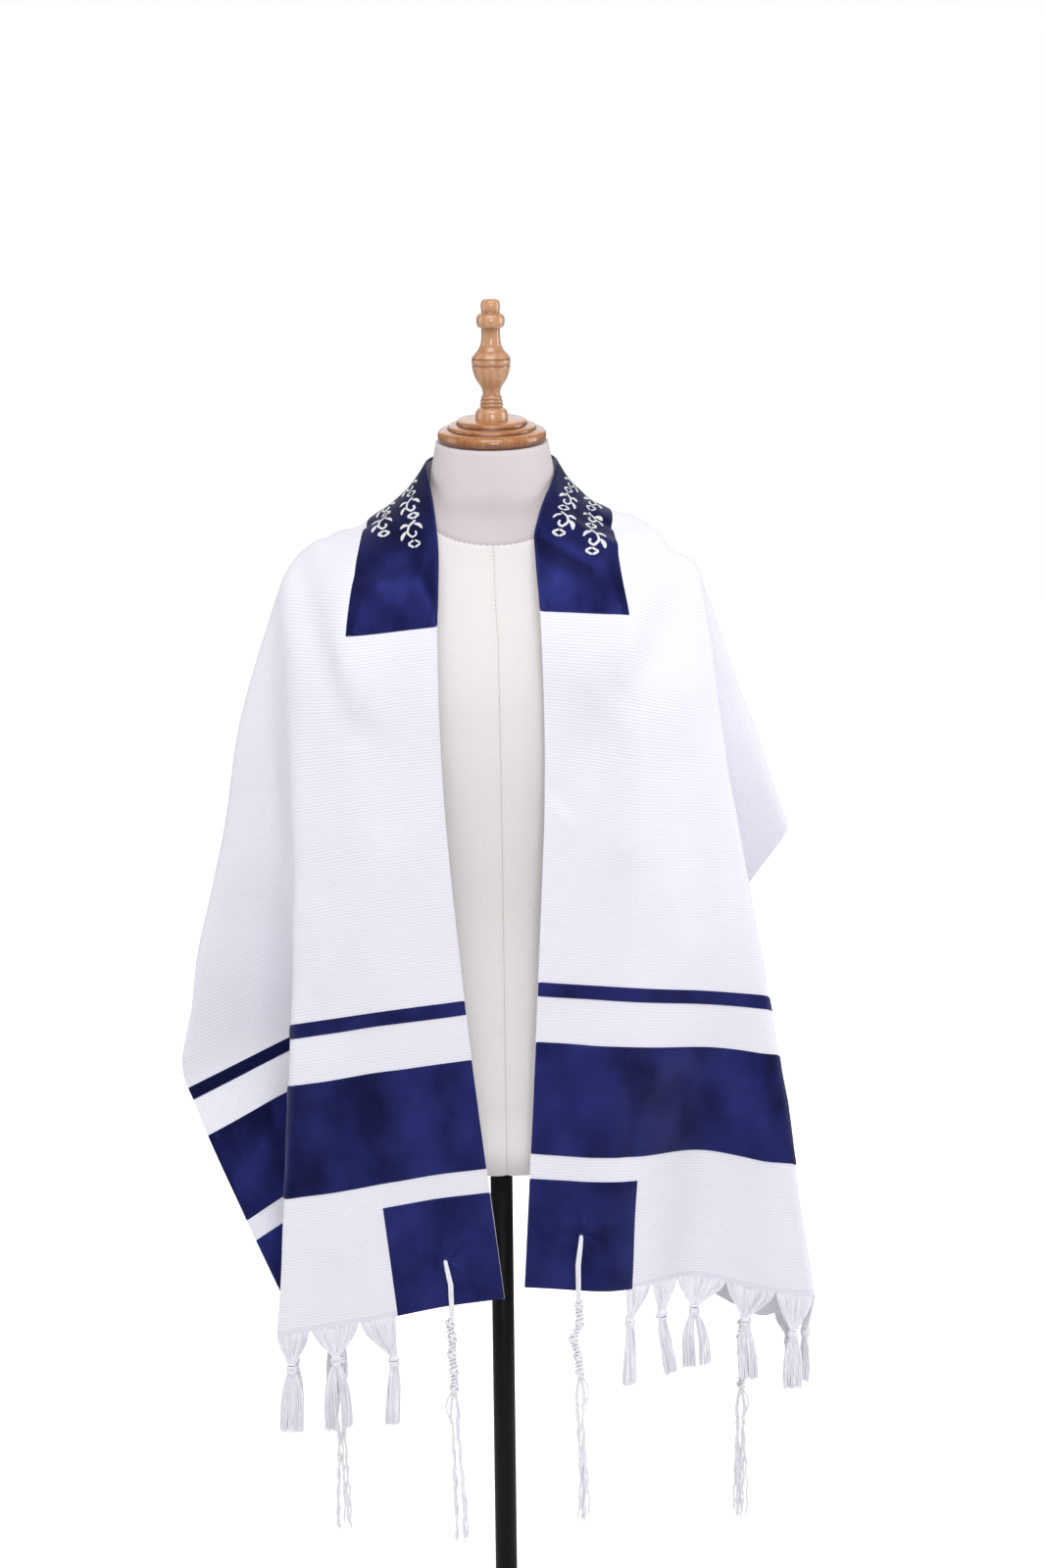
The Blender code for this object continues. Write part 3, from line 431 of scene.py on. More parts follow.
def relief(us, vs):
    """How far the creases raise the cloth at each point of the grid us by vs."""
    grid_u, grid_v = np.meshgrid(us, vs, indexing="ij")
    height = np.zeros_like(grid_u)
    for half, *row in CREASES:
        s, v, to_s, to_v, wide, deep = np.array(row) / 1000
        u, to_u = (s, to_s) if half == "left" else (LENGTH - s, LENGTH - to_s)
        run = np.array((to_u - u, to_v - v))
        share = np.clip(((grid_u - u) * run[0] + (grid_v - v) * run[1]) / (run @ run), 0.0, 1.0)
        away = np.hypot(grid_u - u - share * run[0], grid_v - v - share * run[1])
        height += deep * np.exp(-((away / wide) ** 2))
    for wave_u, wave_v, phase, high in UNEVEN:
        height += high * np.sin(wave_u * grid_u + wave_v * grid_v + phase)
    return height


def hung(us, vs):
    """Points of the creased outer face over a grid, and its unit normals."""
    points = draped(us, vs) + outward(us, vs) * relief(us, vs)[:, :, None]
    normals = np.cross(np.gradient(points, axis=0), np.gradient(points, axis=1))
    return points, normals / np.linalg.norm(normals, axis=2, keepdims=True)


def grid_faces(rows, columns):
    """The faces of a grid of points that are numbered row by row."""
    index = np.arange(rows * columns).reshape(rows, columns)
    corners = [index[:-1, :-1], index[1:, :-1], index[1:, 1:], index[:-1, 1:]]
    return np.stack(corners, axis=2).reshape(-1, 4)


def add_uvs(mesh, name, places, faces):
    """A UV map that puts each corner of the faces at the place of its point."""
    made = mesh.uv_layers.new(name=name)
    made.data.foreach_set("uv", places.reshape(-1, 2)[faces.reshape(-1)].astype(np.float32).reshape(-1))


def add_wall(name, us, vs, outer, inner):
    """A closed wall between two grids of points over us by vs, with the cut as its UV map."""
    rows, columns = outer.shape[:2]
    under = rows * columns
    index = np.arange(under).reshape(rows, columns)
    cells = grid_faces(rows, columns)
    rim = np.concatenate([index[:-1, 0], index[-1, :-1], index[:0:-1, -1], index[0, :0:-1]])
    after = np.roll(rim, -1)
    faces = [cells, cells[:, ::-1] + under, np.stack([rim, rim + under, after + under, after], axis=1)]
    faces = np.concatenate(faces)
    mesh = new_mesh(name, [outer, inner], faces.tolist())
    grid_u, grid_v = np.meshgrid(us, vs, indexing="ij")
    add_uvs(mesh, "cut", np.stack([[grid_v, grid_v], [grid_u, grid_u]], axis=-1), faces)
    for face in mesh.polygons[-len(rim) :]:
        face.use_smooth = False
    return put_in_scene(name, mesh)


def dress(piece, node=None):
    """Rides a piece on the one body, and hides the node it stands for, when one is given."""
    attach(piece, "root")
    if node:
        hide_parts(node)


def named_material(name):
    """A new material and its tree, with an empty Principled shader already joined to the output."""
    made = bpy.data.materials.new(name)
    made.use_nodes = True
    made.node_tree.nodes.clear()
    shader = add_node(made.node_tree, "BsdfPrincipled")
    add_node(made.node_tree, "OutputMaterial", {"Surface": shader})
    return made, made.node_tree, shader


SELVEDGE_WIDE = 0.0030
SELVEDGE_HIGH = 0.00045  # the woven edges are a little thicker than the cloth between them
CLOTH_STEP_V, CLOTH_STEP_U = 0.0031, 0.0085
selvedge = np.array([0.0, 0.0008, 0.0022, SELVEDGE_WIDE])
inside_v = np.linspace(0.0045, WIDTH - 0.0045, int(WIDTH / CLOTH_STEP_V))
cloth_vs = np.concatenate([selvedge, inside_v, WIDTH - selvedge[::-1]])
hem = np.array([0.0, 0.0007, 0.0025])
inside_u = np.linspace(0.0065, LENGTH - 0.0065, int(LENGTH / CLOTH_STEP_U))
cloth_us = np.concatenate([hem, inside_u, LENGTH - hem[::-1]])
points, normals = hung(cloth_us, cloth_vs)
edge_away = np.minimum(cloth_vs, WIDTH - cloth_vs)
bead = SELVEDGE_HIGH * np.clip((SELVEDGE_WIDE - edge_away) / 0.001, 0.0, 1.0)[None, :, None]
outer, inner = points + normals * bead, points - normals * (CLOTH_THICK + bead)
shawl = add_wall("shawl_rib_cloth", cloth_us, cloth_vs, outer, inner)


def wave_scale(pitch):
    """The scale at which a Wave Texture's bands, 2 pi / 20 apart at scale 1, lie a pitch apart."""
    return 2 * math.pi / 20 / pitch


RIB_PITCH = 0.003
HEM_TALL = 0.006  # without ribs
# Rib-woven cotton and viscose, soft and matt. Its ribs run across the shawl at 3 mm, with finer
# broken threads between them, and its colour is painted a darker lavender shade where they are low.
rib_cloth, tree, shader = named_material("Rib_woven_white_cotton_blend")
cut = add_node(tree, "UVMap", uv_map="cut")
ribs = add_node(tree, "TexWave", {
    "Vector": cut, "Scale": wave_scale(RIB_PITCH), "Distortion": 0.5, "Detail": 2.0,
    "Detail Scale": 0.35,
}, bands_direction="Y")
threads_map = add_node(tree, "Mapping", {"Vector": cut, "Scale": (420.0, 1500.0, 1.0)})
threads = add_node(tree, "TexNoise", {"Vector": threads_map, "Scale": 1.0, "Detail": 2.0})
parts = add_node(tree, "SeparateXYZ", {0: cut})
from_middle = add_node(tree, "Math", {0: parts.outputs["Y"], 1: HALF_LENGTH}, operation="SUBTRACT")
from_middle = add_node(tree, "Math", {0: from_middle}, operation="ABSOLUTE")
ribbed = add_node(tree, "Math", {0: from_middle, 1: HALF_LENGTH - HEM_TALL}, operation="LESS_THAN")
rib_height = add_node(tree, "Math", {0: ribs.outputs["Fac"], 1: ribbed}, operation="MULTIPLY")
weave = add_node(tree, "Math", {
    0: threads.outputs["Fac"], 1: 0.55, 2: rib_height,
}, operation="MULTIPLY_ADD")
# painted shade: the colour is darker and more lavender where the weave is low
shade = add_node(tree, "ValToRGB", {0: weave}, stops=((0.15, "#DCDBE7"), (0.80, "#ECEBF3")))
bump = add_node(tree, "Bump", {"Strength": 0.35, "Distance": 0.0004, "Height": weave})
join(shader, {
    "Roughness": 0.85, "Specular IOR Level": 0.25, "Sheen Weight": 0.12, "Sheen Roughness": 0.5,
    "Base Color": shade, "Normal": bump,
})
shawl.data.materials.append(rib_cloth)
dress(shawl, "shawl_cloth")


# ---------------------------------------------------------------- satin trims
# Navy polyester satin: a neckband over the nape, a wide band and a thin stripe across each half,
# and a square patch on each corner. Their edges are turned under and stitched down flat.

PATCH_WIDE = 0.110
PATCH_TALL = 0.118
WIDE_BAND = (0.144, 0.262)
THIN_STRIPE = (0.310, 0.325)
NECKBAND_WIDE = 0.087
NECKBAND_START = 0.700
NECK_BINDING = 0.0028  # the neckband covers this much of the cloth's edge
TRIM_LOW, TRIM_HIGH = 0.0001, 0.0010
HOLE_V = 0.055
HOLE_S = {"left": 0.050, "right": 0.060}

# Name, first and last u, first and last v, and the grid's steps along u and v.
Trim = namedtuple("Trim", "name u0 u1 v0 v1 step_u step_v")
TRIMS = [Trim("neckband", NECKBAND_START, LENGTH - NECKBAND_START, 0.0, NECKBAND_WIDE, 0.0030, 0.0028)]
for half in ("left", "right"):
    for kind, span in (("thin_stripe", THIN_STRIPE), ("wide_band", WIDE_BAND)):
        ends = span if half == "left" else (LENGTH - span[1], LENGTH - span[0])
        TRIMS.append(Trim(f"{kind}_{half}", *ends, 0.0, WIDTH, 0.0032, 0.0028))
    for place, across in (("front", (0.0, PATCH_WIDE)), ("rear", (WIDTH - PATCH_WIDE, WIDTH))):
        ends = (0.0, PATCH_TALL) if half == "left" else (LENGTH - PATCH_TALL, LENGTH)
        TRIMS.append(Trim(f"corner_patch_{half}_{place}", *ends, *across, 0.0020, 0.0020))


# How high the satin stands, as a share of TRIM_HIGH, by its distance from its edge, where it is
# turned under. A narrow trim has only the first rows.
EDGE_AWAY = np.array([0.0, 0.0005, 0.0012, 0.0022, 0.0045, 0.0075, 0.0086, 0.0098, 0.0115])
EDGE_HIGH = np.array([0.15, 0.80, 1.00, 0.85, 1.10, 1.12, 0.98, 0.72, 0.70])
NARROW = 0.030
NARROW_ROWS = 4
NARROW_HIGH = 0.95


def lines_with_turned_edges(low, high, step):
    """Grid lines from low to high, close together where the satin's edge is turned under."""
    edge = EDGE_AWAY[:NARROW_ROWS] if high - low < NARROW else EDGE_AWAY
    count = max(2, int((high - low - 2 * edge[-1]) / step))
    middle = np.linspace(low + edge[-1] + step, high - edge[-1] - step, count)
    return np.concatenate([low + edge, middle, (high - edge)[::-1]])


def edge_lift(distance, narrow):
    """The satin's height above the cloth by its distance from its edge."""
    if narrow:
        away, high = EDGE_AWAY[: NARROW_ROWS + 1], [*EDGE_HIGH[:NARROW_ROWS], NARROW_HIGH]
    else:
        away, high = EDGE_AWAY, EDGE_HIGH
    return np.interp(distance, away, high) * TRIM_HIGH


def hole_place(half, place):
    """Where the cord's hole of a corner lies in the cut."""
    s, v = HOLE_S[half], HOLE_V if place == "front" else WIDTH - HOLE_V
    return (s if half == "left" else LENGTH - s), v


def puckers(grid_u, grid_v, trim):
    """Small gathers of the satin: along its stitched edges, and round a corner's cord hole."""
    along_edge = np.minimum(grid_u - trim.u0, trim.u1 - grid_u)
    near = np.exp(-((along_edge - 0.006) / 0.007) ** 2)
    drawn = np.sin(2 * math.pi * grid_v / 0.0115 + 2.4 * np.sin(2 * math.pi * grid_v / 0.071)) ** 2
    drawn *= 0.5 + 0.5 * np.sin(2 * math.pi * grid_v / 0.047 + 1.3)
    height = 0.00032 * near * drawn
    # lazy blisters where the satin is eased onto the cloth
    for wave_u, wave_v, phase in ((118.0, 71.0, 0.3), (-83.0, 109.0, 1.9), (57.0, 163.0, 4.4)):
        height += 0.00011 * (1 + np.sin(wave_u * grid_u + wave_v * grid_v + phase))
    if trim.name.startswith("corner"):
        hole_u, hole_v = hole_place(*trim.name.split("_")[2:])
        du, dv = grid_u - hole_u, grid_v - hole_v
        away, angle = np.hypot(du, dv), np.arctan2(dv, du)
        rays = 0.5 + 0.5 * np.cos(9 * angle + 1.5 * np.sin(2 * angle))
        height += 0.0021 * rays * np.exp(-((away - 0.010) / 0.009) ** 2)
        petals = 0.5 + 0.5 * np.cos(5 * angle + 1.0)
        height += 0.0013 * petals * np.exp(-((away - 0.024) / 0.014) ** 2)
    return height


satin, tree, shader = named_material("Navy_polyester_satin")
# Floats of filament yarn make satin smooth and glossy along its length. Its dye is deep, and the
# gloss breaks into soft cloudy patches where the cloth under it gives; its colour is painted lighter
# and darker in the same cloudy patches, a painted sheen. Thread lines at 0.8 mm, coarser than real
# so that they show.
cut = add_node(tree, "UVMap", uv_map="cut")
cloud_map = add_node(tree, "Mapping", {"Vector": cut, "Scale": (1.0, 0.7, 1.0)})
clouds = add_node(tree, "TexNoise", {
    "Vector": cloud_map, "Scale": 22.0, "Detail": 2.0, "Roughness": 0.5,
})
float_map = add_node(tree, "Mapping", {"Vector": cut, "Scale": (1250.0, 160.0, 1.0)})
floats = add_node(tree, "TexNoise", {"Vector": float_map, "Scale": 1.0, "Detail": 2.0})
# painted sheen: the base colour runs from deep navy to a lighter blue with the clouds
dye_and_painted_sheen = add_node(tree, "ValToRGB", {
    0: clouds.outputs["Fac"],
}, stops=((0.34, "#0B0D24"), (0.70, "#212556")))
# painted shade: the colour goes towards near-black where its threads slope, in place of the sheen it
# loses there, and keeps the dye where they lie level
along_warp = add_node(tree, "Tangent", direction_type="UV_MAP", uv_map="cut")
lean = add_node(tree, "SeparateXYZ", {0: along_warp})
lean_size = add_node(tree, "Math", {0: lean.outputs["Z"]}, operation="ABSOLUTE")
painted_lit_share = add_node(tree, "MapRange", {0: lean_size, 1: 0.20, 2: 0.38, 3: 1.0, 4: 0.12})
dye_with_painted_shade = add_node(tree, "Mix", {"Factor": painted_lit_share, 6: linear("#05060F"), 7: dye_and_painted_sheen}, data_type="RGBA")
gloss = add_node(tree, "MapRange", {0: clouds.outputs["Fac"], 1: 0.3, 2: 0.7, 3: 0.56, 4: 0.36})
relief_mix = add_node(tree, "Math", {
    0: clouds.outputs["Fac"], 1: 10.0, 2: floats.outputs["Fac"],
}, operation="MULTIPLY_ADD")
bump = add_node(tree, "Bump", {"Strength": 0.30, "Distance": 0.0006, "Height": relief_mix})
join(shader, {
    "IOR": 1.8, "Specular IOR Level": 0.48, "Specular Tint": linear("#6672FA"), "Anisotropic": 0.75,
    "Anisotropic Rotation": 0.25, "Base Color": dye_with_painted_shade.outputs[2], "Roughness": gloss,
    "Normal": bump, "Tangent": along_warp,
})

for trim in TRIMS:
    narrow = trim.u1 - trim.u0 < NARROW
    us = lines_with_turned_edges(trim.u0, trim.u1, trim.step_u)
    vs = lines_with_turned_edges(trim.v0, trim.v1, trim.step_v)
    grid_u, grid_v = np.meshgrid(us, vs, indexing="ij")
    edge_u = np.minimum(grid_u - trim.u0, trim.u1 - grid_u)
    edge_v = np.minimum(grid_v - trim.v0, trim.v1 - grid_v)
    lift = np.minimum(edge_lift(edge_u, narrow), edge_lift(edge_v, narrow))
    fade = np.clip(np.minimum(edge_u, edge_v) / 0.002, 0.0, 1.0)
    lift = lift + puckers(grid_u, grid_v, trim) * fade * (0.35 if narrow else 1.0)
    points, normals = hung(us, vs)
    outer, inner = points + normals * lift[:, :, None], points + normals * TRIM_LOW
    piece = add_wall(f"satin_{trim.name}", us, vs, outer, inner)
    piece.data.materials.append(satin)
    dress(piece, trim.name)

# the neckband is turned over the shawl's edge, so the cloth's rim there is navy as well
shawl.data.materials.append(satin)
corners = np.empty(len(shawl.data.loops) * 2, np.float32)
shawl.data.uv_layers["cut"].data.foreach_get("uv", corners)
middles = corners.reshape(-1, 4, 2).mean(axis=1)
round_neck = np.abs(middles[:, 1] - HALF_LENGTH) < HALF_LENGTH - NECKBAND_START
bound = (middles[:, 0] < NECK_BINDING) & round_neck
shawl.data.polygons.foreach_set("material_index", bound.astype(np.int32))


# ---------------------------------------------------------------- stitching
# Navy polyester sewing thread in a straight machine stitch of 3 mm, along the turned edges of
# every satin trim. The thread sinks a little into the satin.

STITCH_LONG = 0.0024
STITCH_PITCH = 0.0031
STITCH_IN = 0.0013  # from the satin's edge
THREAD_THICK = 0.00042


def on_shawl(us, vs, lift):
    """Points over the creased cloth for pairs of u and v, with their outward normals."""
    at_u = us / (LENGTH / (len(lookup_us) - 1))
    at_v = vs / (WIDTH / (len(lookup_vs) - 1))
    i = np.clip(at_u.astype(int), 0, len(lookup_us) - 2)
    j = np.clip(at_v.astype(int), 0, len(lookup_vs) - 2)
    a, b = (at_u - i)[:, None], (at_v - j)[:, None]
    found = []
    for grid in (lookup_points, lookup_normals):
        low = grid[i, j] * (1 - b) + grid[i, j + 1] * b
        high = grid[i + 1, j] * (1 - b) + grid[i + 1, j + 1] * b
        found.append(low * (1 - a) + high * a)
    normals = found[1] / np.linalg.norm(found[1], axis=1, keepdims=True)
    return found[0] + normals * np.reshape(lift, (-1, 1)), normals


lookup_us, lookup_vs = np.linspace(0, LENGTH, 681), np.linspace(0, WIDTH, 201)
lookup_points, lookup_normals = hung(lookup_us, lookup_vs)


def unit(vectors):
    return vectors / np.linalg.norm(vectors, axis=-1, keepdims=True)


def store(mesh, name, values):
    """Keeps a number or a vector for each point of a mesh."""
    values = np.asarray(values, np.float32)
    kind, field = ("FLOAT_VECTOR", "vector") if values.ndim > 1 else ("FLOAT", "value")
    mesh.attributes.new(name, kind, "POINT").data.foreach_set(field, values.reshape(-1))


def geometry_tree(name, inputs):
    """An empty Geometry Nodes tree with its named inputs, and its input node."""
    tree = bpy.data.node_groups.new(name, "GeometryNodeTree")
    tree.interface.new_socket("Geometry", in_out="OUTPUT", socket_type="NodeSocketGeometry")
    for label, kind in (("Geometry", "Geometry"), *inputs):
        tree.interface.new_socket(label, in_out="INPUT", socket_type="NodeSocket" + kind)
    return tree, add_node(tree, "NodeGroupInput")


def grown(name, mesh, tree, material, **values):
    """What a Geometry Nodes tree makes from a mesh, as a plain mesh in an object of its own."""
    built = put_in_scene(name + "_points", mesh)
    modifier = built.modifiers.new(tree.name, "NODES")
    modifier.node_group = tree
    values["material"] = material
    for item in tree.interface.items_tree:
        if item.name in values:
            modifier[item.identifier] = values[item.name]
    bpy.context.view_layer.update()
    graph = bpy.context.evaluated_depsgraph_get()
    plain = bpy.data.meshes.new_from_object(built.evaluated_get(graph))
    plain.name = name
    bpy.data.objects.remove(built, do_unlink=True)
    if not plain.materials:
        plain.materials.append(material)
    return put_in_scene(name, plain)


inputs = (("long", "Float"), ("thick", "Float"), ("material", "Material"))
stitch_tree, given = geometry_tree("Machine_stitches", inputs)
# one stitch is a low ball drawn out along the seam
ball = add_node(stitch_tree, "MeshUVSphere", {"Segments": 6, "Rings": 4, "Radius": 0.5})
seam = add_node(stitch_tree, "InputNamedAttribute", {"Name": "seam"}, data_type="FLOAT_VECTOR")
face = add_node(stitch_tree, "InputNamedAttribute", {"Name": "face"}, data_type="FLOAT_VECTOR")
turned_x = add_node(stitch_tree, "FunctionNodeAlignRotationToVector", {"Vector": seam}, axis="X")
turned_z = add_node(stitch_tree, "FunctionNodeAlignRotationToVector", {
    "Rotation": turned_x, "Vector": face,
}, axis="Z", pivot_axis="X")
size = {"X": given.outputs["long"], "Y": given.outputs["thick"], "Z": given.outputs["thick"]}
size = add_node(stitch_tree, "ShaderNodeCombineXYZ", size)
copies = add_node(stitch_tree, "InstanceOnPoints", {
    "Points": given.outputs["Geometry"], "Instance": ball, "Rotation": turned_z, "Scale": size,
})
real = add_node(stitch_tree, "RealizeInstances", {0: copies})
smooth = add_node(stitch_tree, "SetShadeSmooth", {0: real})
painted = add_node(stitch_tree, "SetMaterial", {
    "Geometry": smooth, "Material": given.outputs["material"],
})
add_node(stitch_tree, "NodeGroupOutput", {0: painted})


def stitches(name, places, seams, faces, material, long, thick):
    """One piece of stitches at points, each laid along its seam and flat on its face."""
    mesh = new_mesh(name, places)
    store(mesh, "seam", seams)
    store(mesh, "face", faces)
    return grown(name, mesh, stitch_tree, material, long=long, thick=thick)


def seam_rows(start, end, lift):
    """Places, seam directions and normals of the stitches between two points (u, v) of the cut."""
    (u0, v0), (u1, v1) = start, end
    count = max(2, int(math.hypot(u1 - u0, v1 - v0) / STITCH_PITCH))
    share = (np.arange(count) + 0.5) / count
    us, vs = u0 + (u1 - u0) * share, v0 + (v1 - v0) * share
    spots, normals = on_shawl(us, vs, lift)
    ahead, _ = on_shawl(us + (u1 - u0) / count * 0.3, vs + (v1 - v0) / count * 0.3, lift)
    return spots, unit(ahead - spots), normals


def spun_material(name, scale, stops, detail=2.0, stretch=1.0, bump=(0.0, 0.0), **settings):
    """Spun thread or cord: fine noise, drawn out along Z by stretch, between two colours.

    bump is the strength and distance of the relief, and settings are those of the shader.
    """
    made, tree, shader = named_material(name)
    place = add_node(tree, "TexCoord")
    drawn_out = add_node(tree, "Mapping", {
        "Vector": place.outputs["Object"], "Scale": (1.0, 1.0, stretch),
    })
    fibres = add_node(tree, "TexNoise", {"Vector": drawn_out, "Scale": scale, "Detail": detail})
    # where bump is given, the first colour falls in the relief's low spots: a painted shade
    shade = add_node(tree, "ValToRGB", {0: fibres}, stops=stops)
    relief = add_node(tree, "Bump", {"Strength": bump[0], "Distance": bump[1], "Height": fibres})
    join(shader, {"Base Color": shade, "Normal": relief} if bump[0] else {"Base Color": shade})
    join(shader, settings)
    return made


# Spun polyester thread, faintly glossy, a shade paler than the satin where the light takes it.
colours = ((0.0, "#12154C"), (1.0, "#2B3184"))
navy_thread = spun_material("Navy_polyester_thread", 700.0, colours, 1.0, Roughness=0.5)

rows = []
for trim in TRIMS:
    u0, u1 = trim.u0 + STITCH_IN, trim.u1 - STITCH_IN
    v0, v1 = trim.v0 + STITCH_IN, trim.v1 - STITCH_IN
    sides = [((u0, v0), (u0, v1)), ((u1, v0), (u1, v1))]
    if trim.v1 - trim.v0 < WIDTH:  # the bands' ends are caught by the shawl's own edges instead
        sides += [((u0, v0), (u1, v0)), ((u0, v1), (u1, v1))]
    rows += [seam_rows(*side, TRIM_HIGH * 0.98) for side in sides]
places, seams, faces = (np.concatenate(column) for column in zip(*rows))
trim_stitches = stitches("trim_stitching", places, seams, faces, navy_thread, STITCH_LONG, THREAD_THICK)
dress(trim_stitches)


# ---------------------------------------------------------------- embroidery
# Silver-white rayon embroidery on the neckband, from the shoulders round the nape: two rows of
# a plain leaf scroll with open diamonds, in raised satin stitch over the navy ground.

EMBROIDERY_HIGH = 0.00075
EMBROIDERY_FROM = 0.764
MOTIF_LONG = 0.0370
CELLS_ACROSS = 4
STROKE_STEP = 0.0011
STROKE_TAPER = 0.0007  # how far from its ends a stroke narrows
FLOSS_PITCH = 0.0006


def stroke_points(path, wide):
    """One raised stroke of satin stitch: rows of points across a path of (u, v) on the neckband."""
    path = np.array(path)
    steps = np.concatenate([[0.0], np.cumsum(np.hypot(*np.diff(path, axis=0).T))])
    share = np.linspace(0.0, steps[-1], max(5, int(steps[-1] / STROKE_STEP)))
    centre = np.stack(
        [np.interp(share, steps, path[:, 0]), np.interp(share, steps, path[:, 1])], axis=1
    )
    if len(path) > 2:
        for _ in range(3):
            centre[1:-1] = centre[1:-1] * 0.5 + (centre[:-2] + centre[2:]) * 0.25
    ahead = unit(np.gradient(centre, axis=0))
    side = np.stack([-ahead[:, 1], ahead[:, 0]], axis=1)
    across = np.linspace(-1.0, 1.0, CELLS_ACROSS + 1)
    ends = np.minimum(share, steps[-1] - share)
    width = wide(share / steps[-1]) * np.clip(np.sqrt(ends / STROKE_TAPER + 0.05), 0.0, 1.0)
    spots = centre[:, None, :] + side[:, None, :] * (across[None, :, None] * width[:, None, None] / 2)
    rise = np.clip(ends / STROKE_TAPER, 0.15, 1.0)[:, None]
    high = np.sqrt(np.clip(1.0 - across**2, 0.0, 1.0)) * rise
    flat = spots.reshape(-1, 2)
    lift = TRIM_HIGH * 0.72 + EMBROIDERY_HIGH * high.reshape(-1)
    points, _ = on_shawl(flat[:, 0], flat[:, 1], lift)
    marks = np.stack([np.tile(across * 0.002, len(share)), np.repeat(share, len(across))], axis=1)
    return points.reshape(len(share), -1, 3), marks.reshape(len(share), -1, 2)


def even(wide):
    return lambda share: np.full_like(share, wide)


def leaf(wide):
    return lambda share: 0.0008 + wide * np.sin(np.pi * np.clip(share, 0.0, 1.0)) ** 0.8


def motif_strokes(u, v, forward):
    """One repeat of the scroll round (u, v): a curled stem, three leaves and an open diamond."""
    f = 1.0 if forward else -1.0
    long, tall = MOTIF_LONG * 0.5, 0.0150
    at = lambda a, b: (u + f * a * long, v + b * tall)
    curl = [
        at(-0.95, -0.25), at(-0.55, 0.30), at(-0.05, 0.42), at(0.28, 0.05), at(0.10, -0.30),
        at(-0.18, -0.18),
    ]
    strokes = [
        (curl, even(0.0034)),
        ([at(-0.62, 0.28), at(-0.66, 0.70), at(-0.40, 0.98)], leaf(0.0048)),
        ([at(-0.20, 0.48), at(0.12, 0.78), at(0.46, 0.84)], leaf(0.0048)),
        ([at(-0.70, -0.10), at(-0.55, -0.55), at(-0.22, -0.74)], leaf(0.0046)),
    ]
    corners = [at(0.68, -0.58), at(0.92, -0.10), at(0.68, 0.38), at(0.44, -0.10), at(0.68, -0.58)]
    return strokes + [([a, b], even(0.0032)) for a, b in zip(corners, corners[1:])]


strokes = []
repeats = int((LENGTH - 2 * EMBROIDERY_FROM) / MOTIF_LONG)
first = HALF_LENGTH - (repeats - 1) * MOTIF_LONG / 2
for k in range(repeats):
    for row_v, shift in ((0.0260, 0.0), (0.0610, 0.5)):
        u = first + (k + shift) * MOTIF_LONG
        if u <= LENGTH - EMBROIDERY_FROM - 0.3 * MOTIF_LONG:
            strokes += motif_strokes(u, row_v, u > HALF_LENGTH)

faces, points, marks, count = [], [], [], 0
for path, wide in strokes:
    grid, uv = stroke_points(path, wide)
    faces.append(grid_faces(*grid.shape[:2]) + count)
    points.append(grid.reshape(-1, 3))
    marks.append(uv.reshape(-1, 2))
    count += len(points[-1])
faces = np.concatenate(faces)
mesh = new_mesh("neckband_embroidery", np.concatenate(points), faces.tolist())
add_uvs(mesh, "strand", np.concatenate(marks), faces)
embroidery = put_in_scene("neckband_embroidery", mesh)

# Rayon floss in satin stitch: bright and silky, with a thread every 0.6 mm along each stroke,
# coarser than real, and a painted grey shade between the threads.
floss, tree, shader = named_material("Silver_white_rayon_floss")
strand = add_node(tree, "UVMap", uv_map="strand")
lines = add_node(tree, "TexWave", {
    "Vector": strand, "Scale": wave_scale(FLOSS_PITCH), "Distortion": 0.4,
}, bands_direction="Y")
shade = add_node(tree, "ValToRGB", {
    0: lines.outputs["Fac"],
}, stops=((0.0, "#C9C8CE"), (1.0, "#F4F3F2")))
bump = add_node(tree, "Bump", {"Strength": 0.5, "Distance": 0.0002, "Height": lines.outputs["Fac"]})
join(shader, {"Base Color": shade, "Normal": bump, "Roughness": 0.38, "Sheen Weight": 0.2})
mesh.materials.append(floss)
dress(embroidery)


# ---------------------------------------------------------------- fringe
# The cloth's own warp ends, left unwoven below each hem. Every fan of yarns is gathered into one
# overhand knot, and hangs below it as a flat, cut skirt.

YARN_THICK = 0.00105

# In millimetres: where a fan begins and ends along the hem (v), how far its knot lies below the
# hem and leans sideways and forwards, and the skirt's length, width and sideways lean at its end.
# split opens the skirt down its middle, and stub is the side where cut ends leave the knot.
Tassel = namedtuple(
    "Tassel", "v0 v1 drop lean ahead long wide skirt_lean split stub", defaults=(0.0, 0)
)
TASSELS = {
    "left": [
        (112, 148, 48, 15, 1, 72, 14, -3), (150, 198, 37, 0, 3, 80, 26, 1, 0.7, 1),
        (200, 238, 40, -3, 1, 72, 24, -2), (243, 281, 38, 0, 0, 66, 18, 2),
        (281, 315, 36, -8, 0, 56, 14, 0), (315, 350, 36, 18, 0, 52, 14, 0),
    ],
    "right": [
        (104, 130, 37, -12, 1, 71, 14, -1), (131, 158, 36, -5, 2, 72, 15, 12, 0.0, -1),
        (158, 207, 34, -8, 3, 66, 26, 3, 0.8), (208, 257, 39, -5, 2, 67, 18, 4, 0.4),
        (258, 300, 46, -1, 1, 62, 20, 0), (312, 348, 36, 0, 0, 56, 14, 0),
        (353, 389, 36, -8, 0, 50, 12, 0),
    ],
}
FAN_YARNS = SKIRT_YARNS = 84
KNOT_TURNS = 12
ROOT_IN = 0.0015  # how far inside the hem the yarns begin
KNOT_TALL = 0.0094
KNOT_RADIUS = 0.0050
STUB_YARNS = 7

